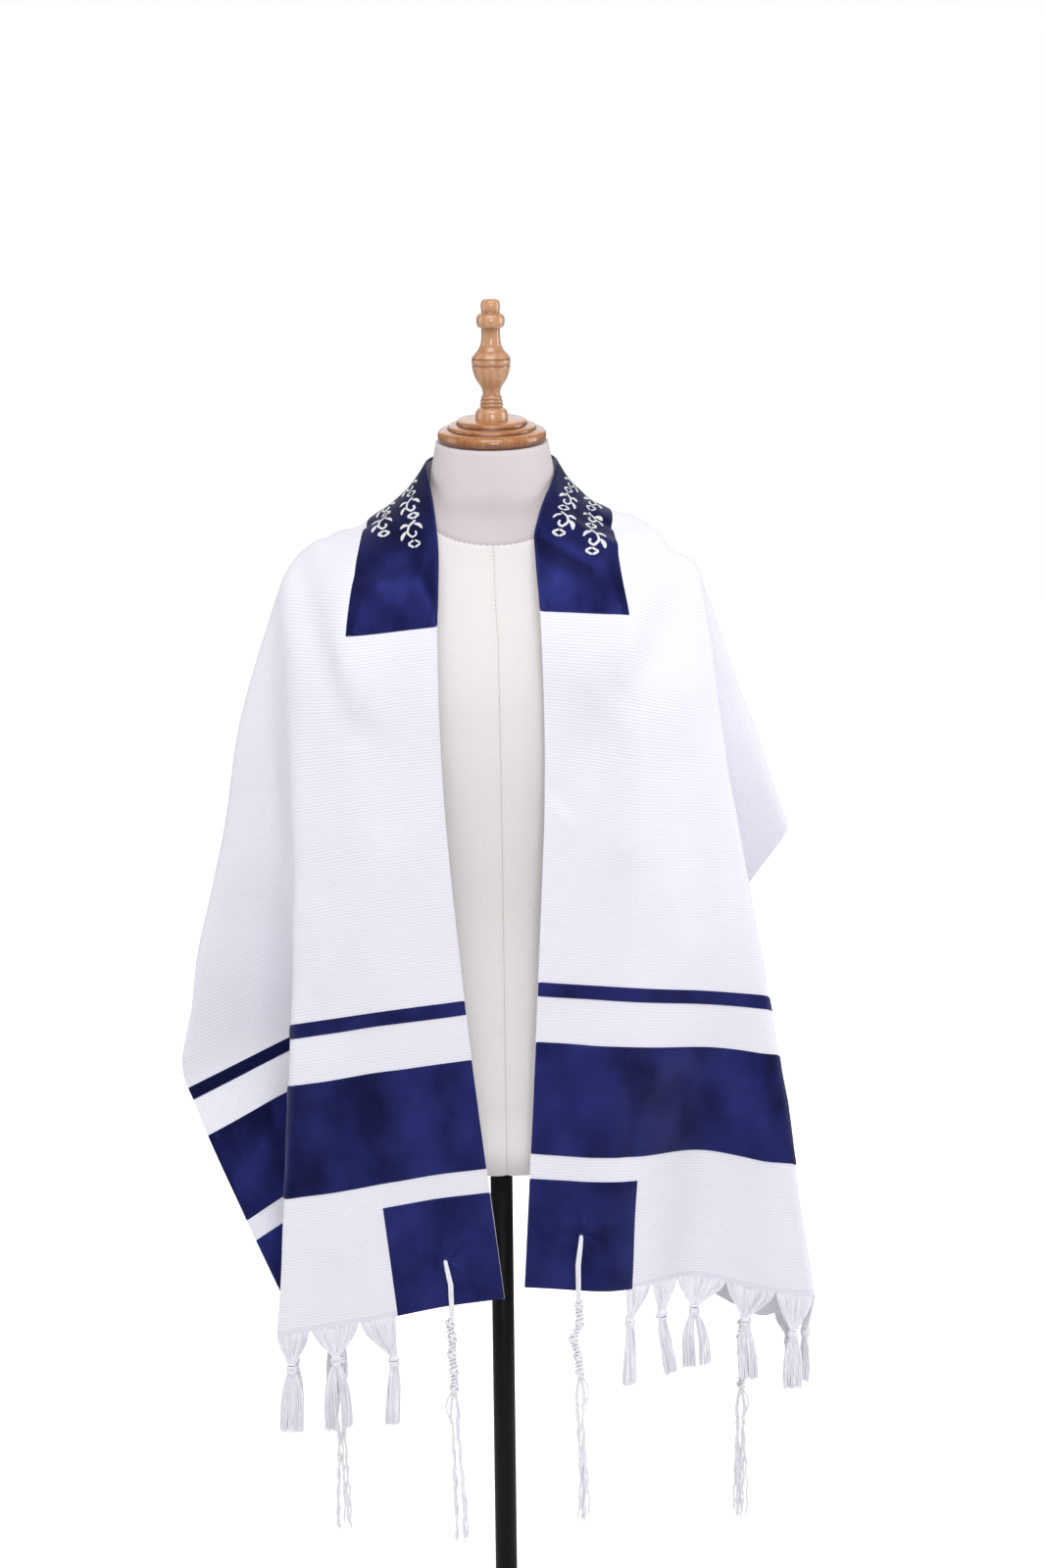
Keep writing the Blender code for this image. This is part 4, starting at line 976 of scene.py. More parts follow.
yarn_tree, given = geometry_tree("Yarns", (("sides", "Int"), ("material", "Material")))
strands = add_node(yarn_tree, "MeshToCurve", {0: given.outputs["Geometry"]})
half_thick = add_node(yarn_tree, "InputNamedAttribute", {"Name": "thick"}, data_type="FLOAT")
thick = add_node(yarn_tree, "SetCurveRadius", {"Curve": strands, "Radius": half_thick})
round_section = add_node(yarn_tree, "CurvePrimitiveCircle", {
    "Resolution": given.outputs["sides"], "Radius": 1.0,
}, mode="RADIUS")
tubes = add_node(yarn_tree, "CurveToMesh", {
    "Curve": thick, "Profile Curve": round_section, "Scale": half_thick, "Fill Caps": True,
})
smooth = add_node(yarn_tree, "SetShadeSmooth", {0: tubes})
real = add_node(yarn_tree, "RealizeInstances", {0: smooth})
painted = add_node(yarn_tree, "SetMaterial", {"Geometry": real, "Material": given.outputs["material"]})
add_node(yarn_tree, "NodeGroupOutput", {0: painted})


def yarn_piece(name, paths, material, sides=5):
    """One piece of round yarns, each given as its points and its half thickness along them."""
    edges, thicks, count = [], [], 0
    for path, half_thick in paths:
        edges.append(np.stack([np.arange(len(path) - 1), np.arange(1, len(path))], axis=1) + count)
        thicks.append(np.broadcast_to(half_thick, len(path)))
        count += len(path)
    mesh = new_mesh(
        name, np.concatenate([path for path, _ in paths]), edges=np.concatenate(edges).tolist()
    )
    store(mesh, "thick", np.concatenate(thicks))
    return grown(name, mesh, yarn_tree, material, sides=sides)


def bend(corners, steps):
    """A smooth cubic through its first and last corners, drawn towards the two between them."""
    t = np.linspace(0.0, 1.0, steps)[:, None]
    a, b, c, d = (np.asarray(corner)[None, :] for corner in corners)
    return (1 - t) ** 3 * a + 3 * (1 - t) ** 2 * t * b + 3 * (1 - t) * t**2 * c + t**3 * d


DOWN = np.array((0.0, 0.0, -1.0))


def tassel_yarns(half, tassel, draw):
    """The yarns of one tassel: its fan, its knot and its skirt."""
    turn = 1.0 if half == "left" else -1.0
    hem_u = ROOT_IN if half == "left" else LENGTH - ROOT_IN
    at = lambda v: on_shawl(np.array([hem_u]), np.array([v]), -CLOTH_THICK / 2)
    (left_root,), _ = at(tassel.v0)
    (right_root,), _ = at(tassel.v1)
    across = right_root - left_root
    across[2] = 0.0
    across = unit(across) * -turn
    deep = np.cross(DOWN, across)  # towards the front
    deep *= np.sign(-deep[1]) or 1.0
    middle = (left_root + right_root) / 2
    knot = middle + DOWN * tassel.drop + across * tassel.lean + deep * tassel.ahead
    paths = []
    for k in range(FAN_YARNS):
        share = (k + draw(0.2, 0.8)) / FAN_YARNS
        v = tassel.v0 + (tassel.v1 - tassel.v0) * share
        (root,), (out,) = at(v)
        root = root + out * draw(-0.0005, 0.0005)
        side = (share - 0.5) * 2
        end = knot - DOWN * 0.004 + across * side * (-0.0030 * turn) + deep * draw(-0.0018, 0.0022)
        sag = root + DOWN * tassel.drop * draw(0.26, 0.34) + deep * draw(-0.001, 0.0025)
        pull = end - DOWN * tassel.drop * 0.30 + (sag - end) * np.array((0.36, 0.36, 0.0))
        paths.append((bend((root, sag, pull, end), 9), YARN_THICK / 2 * draw(0.8, 1.1)))
    # the knot: yarns wound round its own core, each on its own slant
    for k in range(KNOT_TURNS):
        height = (k / (KNOT_TURNS - 1) - 0.5) * KNOT_TALL
        radius = KNOT_RADIUS * math.sqrt(max(0.2, 1 - (height / 0.0070) ** 2))
        start, slant = draw(0, 6.28), draw(-0.0022, 0.0022)
        angle = start + np.linspace(0.0, 2 * math.pi * 1.15, 17)
        ring = knot + across * (radius * np.cos(angle))[:, None]
        ring = ring + deep * (radius * 0.86 * np.sin(angle))[:, None]
        ring = ring - DOWN * (height + slant * np.sin(angle))[:, None]
        paths.append((ring, 0.00100))
    if tassel.stub:
        for k in range(STUB_YARNS):
            root = knot + across * tassel.stub * 0.003 - DOWN * (0.0030 - 0.0009 * k)
            tip = root + across * tassel.stub * draw(0.0055, 0.0075) - DOWN * draw(-0.001, 0.001)
            paths.append(
                (bend((root, root + across * tassel.stub * 0.002, tip, tip + deep * 0.001), 5), 0.0005)
            )
    for k in range(SKIRT_YARNS):
        side = (k + draw(0.0, 1.0)) / SKIRT_YARNS * 2 - 1
        lobe = -1 if side < 0.1 else 1
        long = tassel.long * (1.0 - 0.05 * draw() - 0.10 * tassel.split * (lobe > 0) * abs(side))
        spread = tassel.wide / 2 * side + tassel.split * 0.0026 * lobe
        root = knot + DOWN * 0.0035 + across * side * 0.0034 + deep * draw(-0.0016, 0.0016)
        tip = knot + DOWN * long + across * (spread + tassel.skirt_lean) + deep * draw(-0.0026, 0.0026)
        early = root + DOWN * long * 0.30 + across * (spread * 0.75)
        late = tip - DOWN * long * 0.35 + across * (draw(-0.0008, 0.0008) - tassel.skirt_lean * 0.35)
        path = bend((root, early, late, tip), 11)
        sway = np.sin(np.linspace(0, 5.0, 11) + draw(0, 6)) * np.linspace(0, 0.0005, 11)
        paths.append((path + across * sway[:, None], YARN_THICK / 2 * draw(0.8, 1.1)))
    return paths


# Combed cotton and viscose yarn, silky white: a slight gloss along it, and a faint painted lavender
# shade in the low spots of its fibre relief.
colours = ((0.25, "#E9E8F2"), (0.70, "#F8F7FB"))
settings = {"Roughness": 0.6, "Specular IOR Level": 0.35, "Sheen Weight": 0.2}
yarn = spun_material("White_cotton_viscose_yarn", 900.0, colours, 2.0, 0.12, (0.25, 0.0002), **settings)

for seed, half in enumerate(("left", "right")):
    chance = np.random.default_rng(11 + seed)
    paths = []
    for row in TASSELS[half]:
        paths += tassel_yarns(half, Tassel(*np.array(row[:8]) / 1000, *row[8:]), chance.uniform)
    fringe = yarn_piece(f"yarn_fringe_{half}", paths, yarn)
    dress(fringe, f"fringe_{half}")


# ---------------------------------------------------------------- corner cords
# The knotted corner cord of each patch: a doubled strand through its hole, a stretch of wraps
# with double knots, a small slack loop, and eight loose plied strings.

# Half thicknesses: the two strands over the patch, the core, its wraps, its knots and the strings.
STRAND_HALF, CORE_HALF, WRAP_HALF, KNOT_HALF, STRING_HALF = 0.00150, 0.00125, 0.0012, 0.00160, 0.00120
WRAP_RADIUS, WRAP_PITCH, KNOT_RADIUS_CORD = 0.0032, 0.0042, 0.0042
KINK = 0.0007  # how far a loose string wavers
# Sideways wander of the knotted stretch, by its share from the hem to the last knot.
WANDER = {
    "left_front": [
        (0.0, 0.000), (0.12, -0.003), (0.3, 0.0005), (0.5, -0.001), (0.75, 0.0015), (1.0, 0.001)
    ],
    "left_rear": [(0.0, 0.000), (0.3, 0.002), (0.6, -0.001), (1.0, 0.001)],
    "right_front": [
        (0.0, 0.001), (0.14, 0.000), (0.3, 0.002), (0.5, -0.0065), (0.7, -0.001), (0.85, 0.000),
        (1.0, 0.0015),
    ],
    "right_rear": [(0.0, 0.000), (0.4, -0.002), (0.7, 0.001), (1.0, -0.001)],
}
KNOTS_AT = {"left_front": (0.10, 0.30, 0.52, 0.74, 0.98), "right_front": (0.06, 0.30, 0.52, 0.76, 0.98)}
KNOTTED_LONG = 0.083
LOOSE_LONG = {"left_front": 0.176, "right_front": 0.168, "left_rear": 0.158, "right_rear": 0.158}


def coil(axis, across, deep, radius, turns, phase):
    """A string wound round an axis given as points, with its turns spread evenly."""
    steps = max(12, int(turns * 14))
    share = np.linspace(0, len(axis) - 1, steps)
    centre = np.stack([np.interp(share, np.arange(len(axis)), axis[:, k]) for k in range(3)], axis=1)
    angle = phase + np.linspace(0, 2 * math.pi * turns, steps)
    return (
        centre + across * (radius * np.cos(angle))[:, None] + deep * (radius * np.sin(angle))[:, None]
    )


def cord_paths(half, place, draw):
    """The strings of one corner cord, from its hole down to its loose tips."""
    name = f"{half}_{place}"
    hole_u, v = hole_place(half, place)
    end_u = 0.0 if half == "left" else LENGTH
    (hole,), (out,) = on_shawl(np.array([hole_u]), np.array([v]), 0.0008)
    (edge,), (edge_out,) = on_shawl(np.array([end_u]), np.array([v]), 0.0034)
    across, deep = np.array((1.0, 0.0, 0.0)), np.array((0.0, -1.0, 0.0))
    paths = []
    foot = edge + DOWN * 0.010
    sway = 0.0022 * (1 if half == "left" else -1)
    for side in (-1, 1):
        over = side * 0.00115
        start = hole + across * over * 0.4 - out * 0.0022
        rise = hole + out * 0.0032 + DOWN * 0.006 + across * (over + sway * 0.4)
        middle = (hole + edge) / 2 + out * 0.0034 + across * (over * 1.1 + sway)
        below = (
            middle, middle + DOWN * 0.012, edge - DOWN * 0.006 + across * over,
            foot + across * over * 0.7,
        )
        strand = [bend((start, start + out * 0.006, rise, middle), 12), bend(below, 12)[1:]]
        paths.append((np.concatenate(strand), STRAND_HALF))
    shares, wanders = np.array(WANDER[name]).T
    steps = np.linspace(0, 1, 60)
    axis = foot[None, :] + DOWN * (steps * KNOTTED_LONG)[:, None]
    axis = axis + across * np.interp(steps, shares, wanders)[:, None]
    axis[:, 0] = np.convolve(np.pad(axis[:, 0], 3, mode="edge"), np.ones(7) / 7, "valid")
    for phase in (0.0, 2.1, 4.2):
        paths.append((coil(axis, across, deep, 0.00145, 4.0, phase), CORE_HALF))
    knots = KNOTS_AT.get(name, KNOTS_AT["left_front"])
    for k, (a, b) in enumerate(zip((0.0, *knots), (*knots, 1.0))):
        low, high = int(a * 59), int(b * 59)
        if high - low > 6:
            turns = (b - a) * KNOTTED_LONG / WRAP_PITCH
            paths.append((coil(axis[low : high + 1], across, deep, WRAP_RADIUS, turns, k), WRAP_HALF))
    for share in knots:
        centre = axis[int(share * 59)]
        for lean in (-1, 1):
            tilt = draw(0.5, 0.9) * lean
            a = unit(across + DOWN * tilt * 0.8)
            middle = np.array([centre + DOWN * 0.0012 * lean] * 2)
            paths.append((coil(middle, a, deep, KNOT_RADIUS_CORD, 1.2, draw(0, 6)), KNOT_HALF))
    head = axis[-1]
    loose = LOOSE_LONG[name]
    drift = {"left_front": 0.004, "right_front": 0.002}.get(name, 0.0)
    # one string leaves the last knot in a slack loop and comes back to a small knot below it
    bow = -1 if half == "left" else 1
    out_of_knot = head + across * bow * 0.010 + DOWN * 0.010
    widest = head + across * bow * 0.011 + DOWN * 0.024
    loop = [head, out_of_knot, widest, head + DOWN * 0.034 + across * bow * 0.003]
    paths.append((bend(loop, 14), STRING_HALF))
    for k in range(8):
        angle = 2 * math.pi * k / 8 + 0.3
        away = across * math.cos(angle) + deep * math.sin(angle) * 0.7
        side = 1 if math.cos(angle) > 0 else -1
        long = loose * (1.0 - 0.06 * ((k * 5) % 8) / 8)
        low = head + DOWN * 0.036 + away * 0.0012 + across * side * draw(0.0005, 0.0035)
        start, leave = head + away * 0.0012, head + away * 0.003 + DOWN * 0.010
        first = bend((start, leave, low - DOWN * 0.010 + across * side * 0.003, low), 10)
        tip = (
            head + DOWN * long + across * (drift + side * draw(0.000, 0.007))
            + deep * draw(-0.003, 0.003)
        )
        steps = int((long - 0.036) / 0.0009)
        early = low + DOWN * 0.035 + across * draw(-0.004, 0.004)
        rest = bend((low, early, tip - DOWN * 0.04 + across * draw(-0.004, 0.005), tip), steps)
        t = np.linspace(0, 1, steps)
        kinks = across * (KINK * np.sin(t * draw(24, 34) + k))[:, None]
        kinks = kinks + deep * (KINK * np.cos(t * draw(20, 30)))[:, None]
        rest = rest + kinks * np.clip(t * 6, 0, 1)[:, None]
        # two plies make the string swell and narrow along it, and its tip frays to a point
        plies = STRING_HALF * (0.90 + 0.10 * np.abs(np.sin(np.arange(steps) * 0.9 + k)))
        plies = plies * np.clip((1 - t) * 14 + 0.25, 0, 1)
        path = np.concatenate([first, rest[1:]])
        paths.append((path, np.concatenate([np.full(len(first), STRING_HALF * 0.9), plies[1:]])))
    for side in (-1, 1):
        centre = head + DOWN * 0.036 + across * side * 0.003
        for k in range(2):
            middle = np.array([centre + DOWN * 0.0016 * k] * 2)
            paths.append((coil(middle, unit(across + DOWN * 0.4), deep, 0.0016, 1.3, k), 0.0008))
    return paths


# Plied cotton cord, off-white and matt, with a painted grey shade in the low spots of its relief, for
# the hollows between its plies.
colours = ((0.35, "#E0E1E9"), (0.65, "#FBFBFE"))
plied = spun_material("Off_white_plied_cotton_cord", 700.0, colours, bump=(0.4, 0.0003), Roughness=0.8)

for seed, (half, place) in enumerate((h, p) for h in ("left", "right") for p in ("front", "rear")):
    chance = np.random.default_rng(31 + seed)
    cord = yarn_piece(f"corner_cord_{half}_{place}", cord_paths(half, place, chance.uniform), plied, 6)
    dress(cord, f"tzitzit_{half}_{place}")

# a worked eyelet round each cord's hole
eyelets = []
turns = np.linspace(0, 2 * math.pi, 29)
for u, v in (hole_place(half, place) for half in ("left", "right") for place in ("front", "rear")):
    spots, _ = on_shawl(u + 0.0030 * np.cos(turns), v + 0.0030 * np.sin(turns), TRIM_HIGH * 1.5)
    eyelets.append((spots, 0.00055))
eyelet_piece = yarn_piece("cord_hole_eyelets", eyelets, navy_thread, 6)
dress(eyelet_piece)


# ---------------------------------------------------------------- dress form
# A limbless form of light foam under a close cover of pale linen, sewn with one seam down the
# front and one round the foot of the neck, and closed below by a flat board.

FORM_BOTTOM = 0.683
NECK_TOP = 1.4180
FORM_COLUMNS = 128
FORM_ROWS = 150

# Horizontal sections of the form: height, half width, depth to the front and to the back.
FORM_SECTIONS = [
    (FORM_BOTTOM, 0.155, 0.105, 0.104), (FORM_BOTTOM + 0.008, 0.162, 0.112, 0.111),
    (0.755, 0.165, 0.116, 0.115), (0.84, 0.158, 0.111, 0.108), (0.95, 0.143, 0.104, 0.098),
    (1.05, 0.15, 0.112, 0.102), (1.14, 0.164, 0.121, 0.108), (1.2, 0.176, 0.119, 0.108),
    (1.245, 0.189, 0.106, 0.103), (1.275, 0.195, 0.092, 0.092), (1.293, 0.188, 0.082, 0.082),
    (1.31, 0.162, 0.073, 0.074), (1.325, 0.13, 0.067, 0.069), (1.34, 0.102, 0.062, 0.065),
    (1.355, 0.08, 0.059, 0.062), (1.372, 0.065, 0.0605, 0.06), (1.392, 0.0608, 0.058, 0.057),
    (NECK_TOP, 0.0555, 0.054, 0.0535),
]
SEAM_GROOVE = 0.0012
SEAM_HALF = 0.0016
NECK_SEAM_Z = 1.3278  # at the centre front, rising towards the sides
NECK_SEAM_RISE = 0.035
CAP_LEAN = 0.040  # the neck is cut so that its cap slopes down to the front
LEAN_FROM = 1.385
LEAN_FRONT = 0.050  # how far before the axis the slope starts
FRONT_SEAM_X = [(FORM_BOTTOM, 0.0060), (1.10, 0.0052), (1.25, 0.0040), (NECK_SEAM_Z, 0.0013)]


def smooth_rows(table, at):
    """The columns of a table at new first values, through a smooth cubic between its rows."""
    knots, values = table[:, 0], table[:, 1:]
    slopes = np.gradient(values, knots, axis=0)
    i = np.clip(np.searchsorted(knots, at) - 1, 0, len(knots) - 2)
    gap = (knots[i + 1] - knots[i])[:, None]
    t = (at - knots[i])[:, None] / gap
    return cubic(t, gap, values[i], values[i + 1], slopes[i], slopes[i + 1])


def form_section(heights):
    """Half width, front depth and back depth of the form at each height."""
    rows = smooth_rows(np.array(FORM_SECTIONS), np.clip(heights.reshape(-1), FORM_BOTTOM, NECK_TOP))
    return rows.reshape(*heights.shape, 3)


def form_points(heights, angles):
    """Points of the form's cover at each height and angle."""
    rows = form_section(heights)
    c, s = np.cos(angles), np.sin(angles)
    power = np.clip(0.88 + (heights - 1.24) * 3.0, 0.88, 1.0)
    deep = np.where(s > 0, rows[..., 2], rows[..., 1])
    x = rows[..., 0] * np.sign(c) * np.abs(c) ** power
    y = deep * np.sign(s) * np.abs(s) ** power
    return np.stack([x, y, heights], axis=-1)


def neck_seam_height(angle):
    return NECK_SEAM_Z + NECK_SEAM_RISE * (1 - np.exp(-2.7 * (1 + np.sin(angle))))


def front_seam_turn(heights):
    """The angle by which the front seam lies to the viewer's right of the middle."""
    z, x = np.array(FRONT_SEAM_X).T
    return (np.interp(heights, z, x) / form_section(heights)[..., 0]) ** 1.1


def ring_mesh(name, points):
    """A closed mesh of rings of points, bottom first, with a flat face at each end."""
    rows, sides = points.shape[:2]
    index = np.arange(rows * sides).reshape(rows, sides)
    after = np.roll(index, -1, axis=1)
    faces = np.stack([index[:-1], after[:-1], after[1:], index[1:]], axis=2).reshape(-1, 4).tolist()
    mesh = new_mesh(name, points, [*faces, index[0, ::-1].tolist(), index[-1].tolist()])
    for face in mesh.polygons[-2:]:
        face.use_smooth = False
    return mesh


front_angle = 1.5 * math.pi
columns = np.linspace(0, 2 * math.pi, FORM_COLUMNS, endpoint=False)
near_seam = front_angle + np.array([-0.024, -0.0145, -0.008, -0.003, 0.003, 0.008, 0.0145, 0.024])
columns = np.sort(np.concatenate([columns[np.abs(columns - front_angle) > 0.03], near_seam]))
heights = np.linspace(FORM_BOTTOM + 0.010, NECK_TOP, FORM_ROWS)
heights = np.concatenate([FORM_BOTTOM + np.array([0.0, 0.0012, 0.003, 0.0055]), heights])
close_rows = np.array([-0.005, -0.0028, -0.0014, -0.0005, 0.0005, 0.0014, 0.0028, 0.005])
heights = heights[np.abs(heights - NECK_SEAM_Z) > 0.006]
heights = np.sort(np.concatenate([heights, NECK_SEAM_Z + close_rows]))
grid_z, grid_angle = np.meshgrid(heights, columns, indexing="ij")
# rows close to the neck seam follow it round
rise = neck_seam_height(grid_angle) - NECK_SEAM_Z
above = (NECK_TOP - grid_z) / (NECK_TOP - NECK_SEAM_Z)
below = (grid_z - 1.20) / (NECK_SEAM_Z - 1.20)
follow = np.where(grid_z > NECK_SEAM_Z, above, below)
grid_z_moved = grid_z + rise * np.clip(follow, 0.0, 1.0)
turned_by = front_seam_turn(grid_z_moved) * np.exp(-(((grid_angle - front_angle) / 0.5) ** 2))
points = form_points(grid_z_moved, grid_angle + turned_by)
near_top = np.clip((grid_z_moved - LEAN_FROM) / (NECK_TOP - LEAN_FROM), 0.0, 1.0)
points[..., 2] += CAP_LEAN * (points[..., 1] + LEAN_FRONT) * near_top**1.5
normals = np.cross(np.roll(points, -1, 1) - np.roll(points, 1, 1), np.gradient(points, axis=0))
normals = unit(normals)
seam_away = np.minimum(np.abs(grid_z - NECK_SEAM_Z), 1.0)
on_front = (grid_z < NECK_SEAM_Z) & (points[..., 1] < 0)
front_away = np.where(on_front, np.abs(grid_angle - front_angle) * 0.112, 1.0)
groove = np.exp(-((seam_away / SEAM_HALF) ** 2)) + np.exp(-((front_away / SEAM_HALF) ** 2))
points = points - normals * (SEAM_GROOVE * np.clip(groove, 0, 1))[..., None]
mesh = ring_mesh("linen_form", points)
store(mesh, "neck_panel", (grid_z > NECK_SEAM_Z).reshape(-1))
linen_form = put_in_scene("linen_form", mesh)

# Undyed linen, plain weave at about 0.8 mm, drawn at 1.2 mm so that it shows. It is matt, with
# small dark slubs and a slow unevenness of tone.
linen, tree, shader = named_material("Undyed_plain_weave_linen")
place = add_node(tree, "TexCoord")
weave_scale = wave_scale(0.0012)
bands = {"Vector": place.outputs["Object"], "Scale": weave_scale, "Distortion": 1.2, "Detail": 1.0}
upright = add_node(tree, "TexWave", bands, bands_direction="X")
level = add_node(tree, "TexWave", bands, bands_direction="Z")
weave = add_node(tree, "Math", {
    0: upright.outputs["Fac"], 1: level.outputs["Fac"],
}, operation="MAXIMUM")
slub_map = add_node(tree, "Mapping", {"Vector": place.outputs["Object"], "Scale": (1.0, 1.0, 0.45)})
slubs = add_node(tree, "TexNoise", {
    "Vector": slub_map, "Scale": 520.0, "Detail": 2.0, "Roughness": 0.6,
})
slub_ramp = add_node(tree, "ValToRGB", {
    0: slubs.outputs["Fac"],
}, stops=((0.26, "#D6D0CA"), (0.38, "#E8E4E1")))
tone = add_node(tree, "TexNoise", {"Vector": place.outputs["Object"], "Scale": 9.0, "Detail": 2.0})
mixed = add_node(tree, "Mix", {
    "Factor": tone.outputs["Fac"], 6: slub_ramp, 7: linear("#E4DFDE"),
}, data_type="RGBA")
neck_share = add_node(tree, "Attribute", attribute_name="neck_panel")
panelled = add_node(tree, "Mix", {
    "Factor": neck_share.outputs["Fac"], 6: mixed.outputs[2], 7: linear("#E6E1E5"),
}, data_type="RGBA", blend_type="MULTIPLY")
bump = add_node(tree, "Bump", {"Strength": 0.25, "Distance": 0.0003, "Height": weave})
join(shader, {
    "Base Color": panelled.outputs[2], "Normal": bump, "Roughness": 0.9, "Specular IOR Level": 0.2,
    "Sheen Weight": 0.08,
})
mesh.materials.append(linen)
dress(linen_form, "form_torso")

# Pinkish cotton thread along both seams of the cover.
colours = ((0.0, "#97796F"), (1.0, "#BC9F95"))
seam_thread = spun_material("Dusty_pink_cotton_thread", 600.0, colours, Roughness=0.7)

angles = np.linspace(0, 2 * math.pi, 132, endpoint=False)
neck_spots = form_points(neck_seam_height(angles), angles)
front_z = np.arange(FORM_BOTTOM + 0.006, NECK_SEAM_Z - 0.002, 0.0034)
front_spots = form_points(front_z, front_angle + front_seam_turn(front_z))
spots = np.concatenate([neck_spots, front_spots])
neck_run = np.roll(neck_spots, -1, 0) - np.roll(neck_spots, 1, 0)
seams = np.concatenate([neck_run, np.gradient(front_spots, axis=0)])
outs = unit(spots * np.array((1.0, 1.0, 0.0)))
spots = spots - outs * 0.0006  # into the seam's groove
form_stitches = stitches("form_seam_stitching", spots, unit(seams), outs, seam_thread, 0.0024, 0.0006)
dress(form_stitches)


# ---------------------------------------------------------------- neck cap and finial
# Turned hardwood under clear varnish: a dark stepped cap over the neck, and a paler finial
# screwed into it. Both are turned on a lathe about the form's axis.

# Profiles of (height, radius) in millimetres, bottom first: the cap's from its foot, and the
# finial's from the floor.
CAP_PROFILE = [
    (0, 48), (0, 50.5), (0.6, 51.8), (1.8, 52.8), (4, 53.5), (6.5, 53.7), (8.8, 53.1), (10.4, 51.8),
    (11.4, 50), (11.9, 48), (12.1, 46), (12.2, 44.6), (12.6, 43.9), (13.5, 43.7), (14.7, 43.3),
    (15.6, 42.3), (16.1, 40.6), (16.3, 38.5), (16.4, 36.8), (16.6, 35.5), (17.1, 34.9), (18.4, 34.8),
    (19.9, 34.3), (20.9, 33.2), (21.4, 31.4), (21.6, 28), (21.7, 22), (21.7, 12),
]
FINIAL_PROFILE = [
    (1439.1, 12), (1439.3, 15.8), (1440.8, 16.1), (1441.8, 16.3), (1444, 16.2), (1446.5, 15.9),
    (1448.7, 15.5), (1449.8, 15.1), (1450.5, 14.7), (1451.6, 13.8), (1452.6, 12.7), (1453.2, 11.7),
    (1453.6, 10.8), (1454.2, 10.6), (1455, 11), (1456, 11.5), (1457, 11.3), (1457.6, 10.5),
    (1458.1, 10.3), (1458.7, 10.7), (1459.7, 11), (1460.7, 10.7), (1461.3, 9.9), (1461.8, 9.7),
    (1462.4, 10.1), (1463.3, 10.3), (1464.3, 10), (1465, 9.1), (1465.7, 8.6), (1466.8, 8.4),
    (1468.5, 8.5), (1470.5, 8.9), (1472.5, 9.6), (1474.6, 10.7), (1477.5, 12.7), (1480.5, 14.6),
    (1483.5, 16.1), (1486.5, 17.2), (1489.5, 18), (1492.8, 18.6), (1494.2, 18.8), (1494.7, 18.3),
    (1495.3, 18.2), (1495.9, 18.8), (1498.2, 19.1), (1500.8, 19.1), (1501.4, 18.4), (1502, 18.3),
    (1502.6, 18.7), (1503.2, 18.6), (1504, 18), (1505.2, 17), (1506.4, 16), (1507.9, 14.7),
    (1509, 13.4), (1511.2, 11.9), (1513.7, 10.6), (1516, 9.9), (1519.5, 9.4), (1524, 9.1), (1530, 9.1),
    (1531.2, 9.4), (1531.8, 11.2), (1532.6, 12.4), (1534.5, 13.4), (1537, 13.8), (1539.5, 13.9),
    (1542, 13.4), (1544, 12.4), (1545.2, 10.9), (1545.8, 9.4), (1546.4, 8.8), (1548, 9), (1551, 9.4),
    (1554, 9.4), (1556.5, 8.9), (1558.2, 7.9), (1559.2, 6.2), (1559.7, 3),
]


def turned(name, profile, sides, lean=0.0, foot_shade=()):
    """A closed solid of revolution about the pole's axis, from (height, radius) rows, bottom first.

    lean slopes it down to the front. Its groove value is a painted shade, 1 in a turned groove and
    0 on the round parts, and foot_shade gives it for the first rows.
    """
    rows = np.array(profile)
    angle = np.linspace(0, 2 * math.pi, sides, endpoint=False)
    x, y = rows[:, 1:] * np.cos(angle), rows[:, 1:] * np.sin(angle)
    z = rows[:, :1] + (y + LEAN_FRONT) * lean
    mesh = ring_mesh(name, np.stack([x, y, z], axis=2))
    runs = np.diff(rows[:, ::-1], axis=0)
    runs /= np.linalg.norm(runs, axis=1, keepdims=True)
    bends = runs[:-1, 0] * runs[1:, 1] - runs[:-1, 1] * runs[1:, 0]
    groove_shade = np.clip(-np.pad(bends, 1) * 1.6, 0.0, 1.0)
    groove_shade = np.maximum(groove_shade, 0.55 * np.maximum(np.roll(groove_shade, 1), np.roll(groove_shade, -1)))
    groove_shade[: len(foot_shade)] = foot_shade
    store(mesh, "groove", np.repeat(groove_shade, sides))
    return put_in_scene(name, mesh)


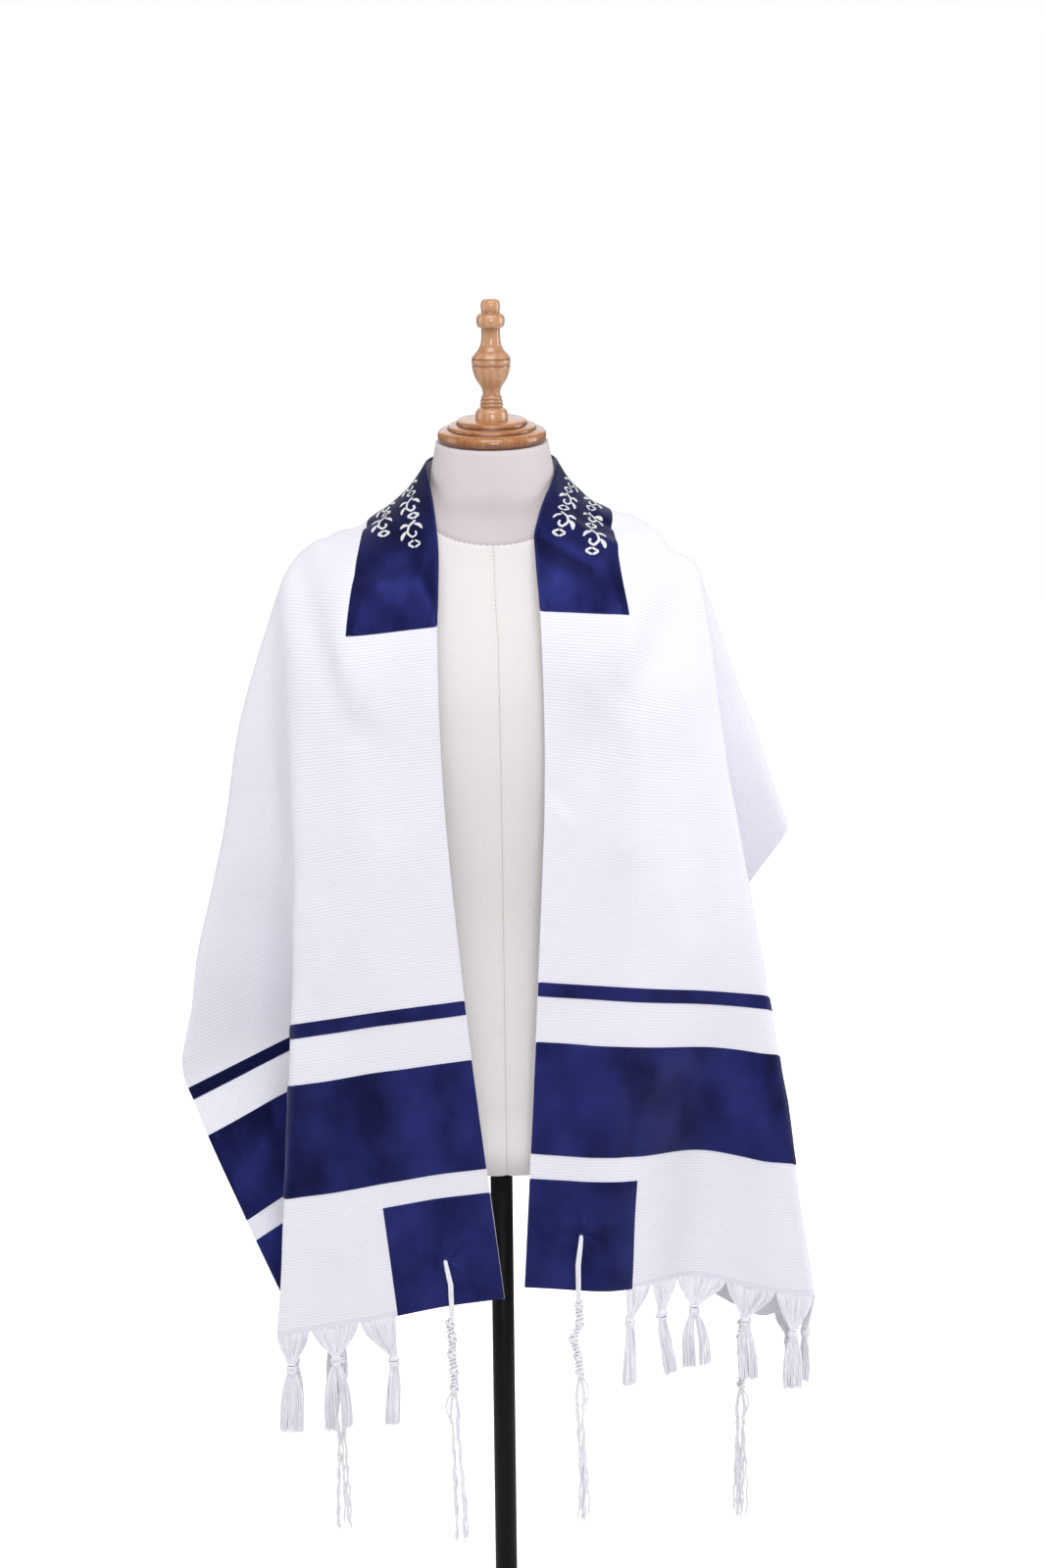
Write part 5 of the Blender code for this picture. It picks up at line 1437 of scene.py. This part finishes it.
def varnished_wood(name, dark, light, groove_shade_colour, grain_turn, ring_wide):
    """Turned hardwood under gloss varnish: fine grain along the blank and slow rings across it."""
    made, tree, shader = named_material(name)
    place = add_node(tree, "TexCoord")
    blank = add_node(tree, "Mapping", {
        "Vector": place.outputs["Object"], "Rotation": grain_turn, "Scale": (1.0, 1.0, 0.10),
    })
    grain = add_node(tree, "TexNoise", {
        "Vector": blank, "Scale": 420.0, "Detail": 4.0, "Roughness": 0.6,
    })
    rings = add_node(tree, "TexWave", {
        "Vector": blank, "Scale": wave_scale(ring_wide), "Distortion": 3.0, "Detail": 2.0,
        "Detail Scale": 1.0,
    }, bands_direction="X")
    both = add_node(tree, "Math", {
        0: rings.outputs["Fac"], 1: 0.30, 2: grain.outputs["Fac"],
    }, operation="MULTIPLY_ADD")
    shade = add_node(tree, "ValToRGB", {0: both}, stops=((0.35, dark), (0.95, light)))
    bump = add_node(tree, "Bump", {
        "Strength": 0.04, "Distance": 0.0002, "Height": grain.outputs["Fac"],
    })
    # painted shade: the colour goes to the given dark colour in turned grooves and on the cap's foot
    groove = add_node(tree, "Attribute", attribute_name="groove")
    grain_and_painted_shade = add_node(tree, "Mix", {
        "Factor": groove.outputs["Fac"], 6: shade, 7: linear(groove_shade_colour),
    }, data_type="RGBA")
    join(shader, {
        "Base Color": grain_and_painted_shade.outputs[2], "Normal": bump, "Roughness": 0.42, "Coat Weight": 0.7,
        "Coat Roughness": 0.07,
    })
    return made


cap_rows = np.array(CAP_PROFILE) / 1000 + (NECK_TOP + 0.0003, 0.0)
# the cap's first rows get a painted shade, darkest at its foot
neck_cap = turned("turned_neck_cap", cap_rows, 96, CAP_LEAN, (0.95, 0.95, 0.92, 0.85, 0.65, 0.40, 0.12))
# the fourth colour of each wood is its painted shade in grooves
wood = ("Varnished_brown_hardwood", "#9C5A2C", "#D89C66", "#5E3012", (0.0, math.pi / 2, 0.0), 0.009)
neck_cap.data.materials.append(varnished_wood(*wood))
dress(neck_cap, "neck_cap")
finial = turned("turned_finial", np.array(FINIAL_PROFILE) / 1000, 72)
wood = ("Varnished_beech", "#B4815A", "#CB9C74", "#94643F", (0.0, 0.0, 0.0), 0.007)
finial.data.materials.append(varnished_wood(*wood))
dress(finial, "finial")


# ---------------------------------------------------------------- pole and base
# A black powder-coated steel tube on a round cast base with a short socket. The pole stands in
# the socket, and holds the form from below.

POLE_RADIUS = 0.0118
BASE_RADIUS = 0.190
BASE_THICK = 0.018
base_rows = [
    (0.0, 0.150), (0.0, 0.1882), (0.0006, 0.1894), (0.0016, BASE_RADIUS), (0.0110, BASE_RADIUS),
    (0.0128, 0.1894), (0.0142, 0.1882), (0.0150, 0.1866), (0.0155, 0.1600), (0.0165, 0.1100),
    (BASE_THICK, 0.0600), (0.0192, 0.0400), (0.0212, 0.0285), (0.0224, 0.0243), (0.0240, 0.0232),
    (0.0290, 0.0220), (0.0375, 0.0214), (0.0396, 0.0210), (0.0412, 0.0200), (0.0420, 0.0185),
    (0.0420, 0.0140),
]
pole_rows = [(z, POLE_RADIUS) for z in (0.0423, 0.0500, 0.3500, FORM_BOTTOM - 0.0003)]

# Powder coat on steel: near-black, satin, with a fine orange-peel skin.
powder_coat, tree, shader = named_material("Black_powder_coated_steel")
place = add_node(tree, "TexCoord")
peel = add_node(tree, "TexNoise", {"Vector": place.outputs["Object"], "Scale": 480.0, "Detail": 1.0})
dust = add_node(tree, "TexNoise", {"Vector": place.outputs["Object"], "Scale": 14.0, "Detail": 3.0})
shade = add_node(tree, "ValToRGB", {0: dust.outputs["Fac"]}, stops=((0.0, "#08080C"), (1.0, "#0E0D12")))
bump = add_node(tree, "Bump", {"Strength": 0.12, "Distance": 0.0002, "Height": peel.outputs["Fac"]})
join(shader, {"Base Color": shade, "Normal": bump, "Roughness": 0.46, "Specular IOR Level": 0.16})
stand = [("cast_base", base_rows, 128, "stand_base"), ("steel_pole", pole_rows, 64, "stand_pole")]
for name, rows, sides, node in stand:
    piece = turned(name, rows, sides)
    piece.data.materials.append(powder_coat)
    dress(piece, node)
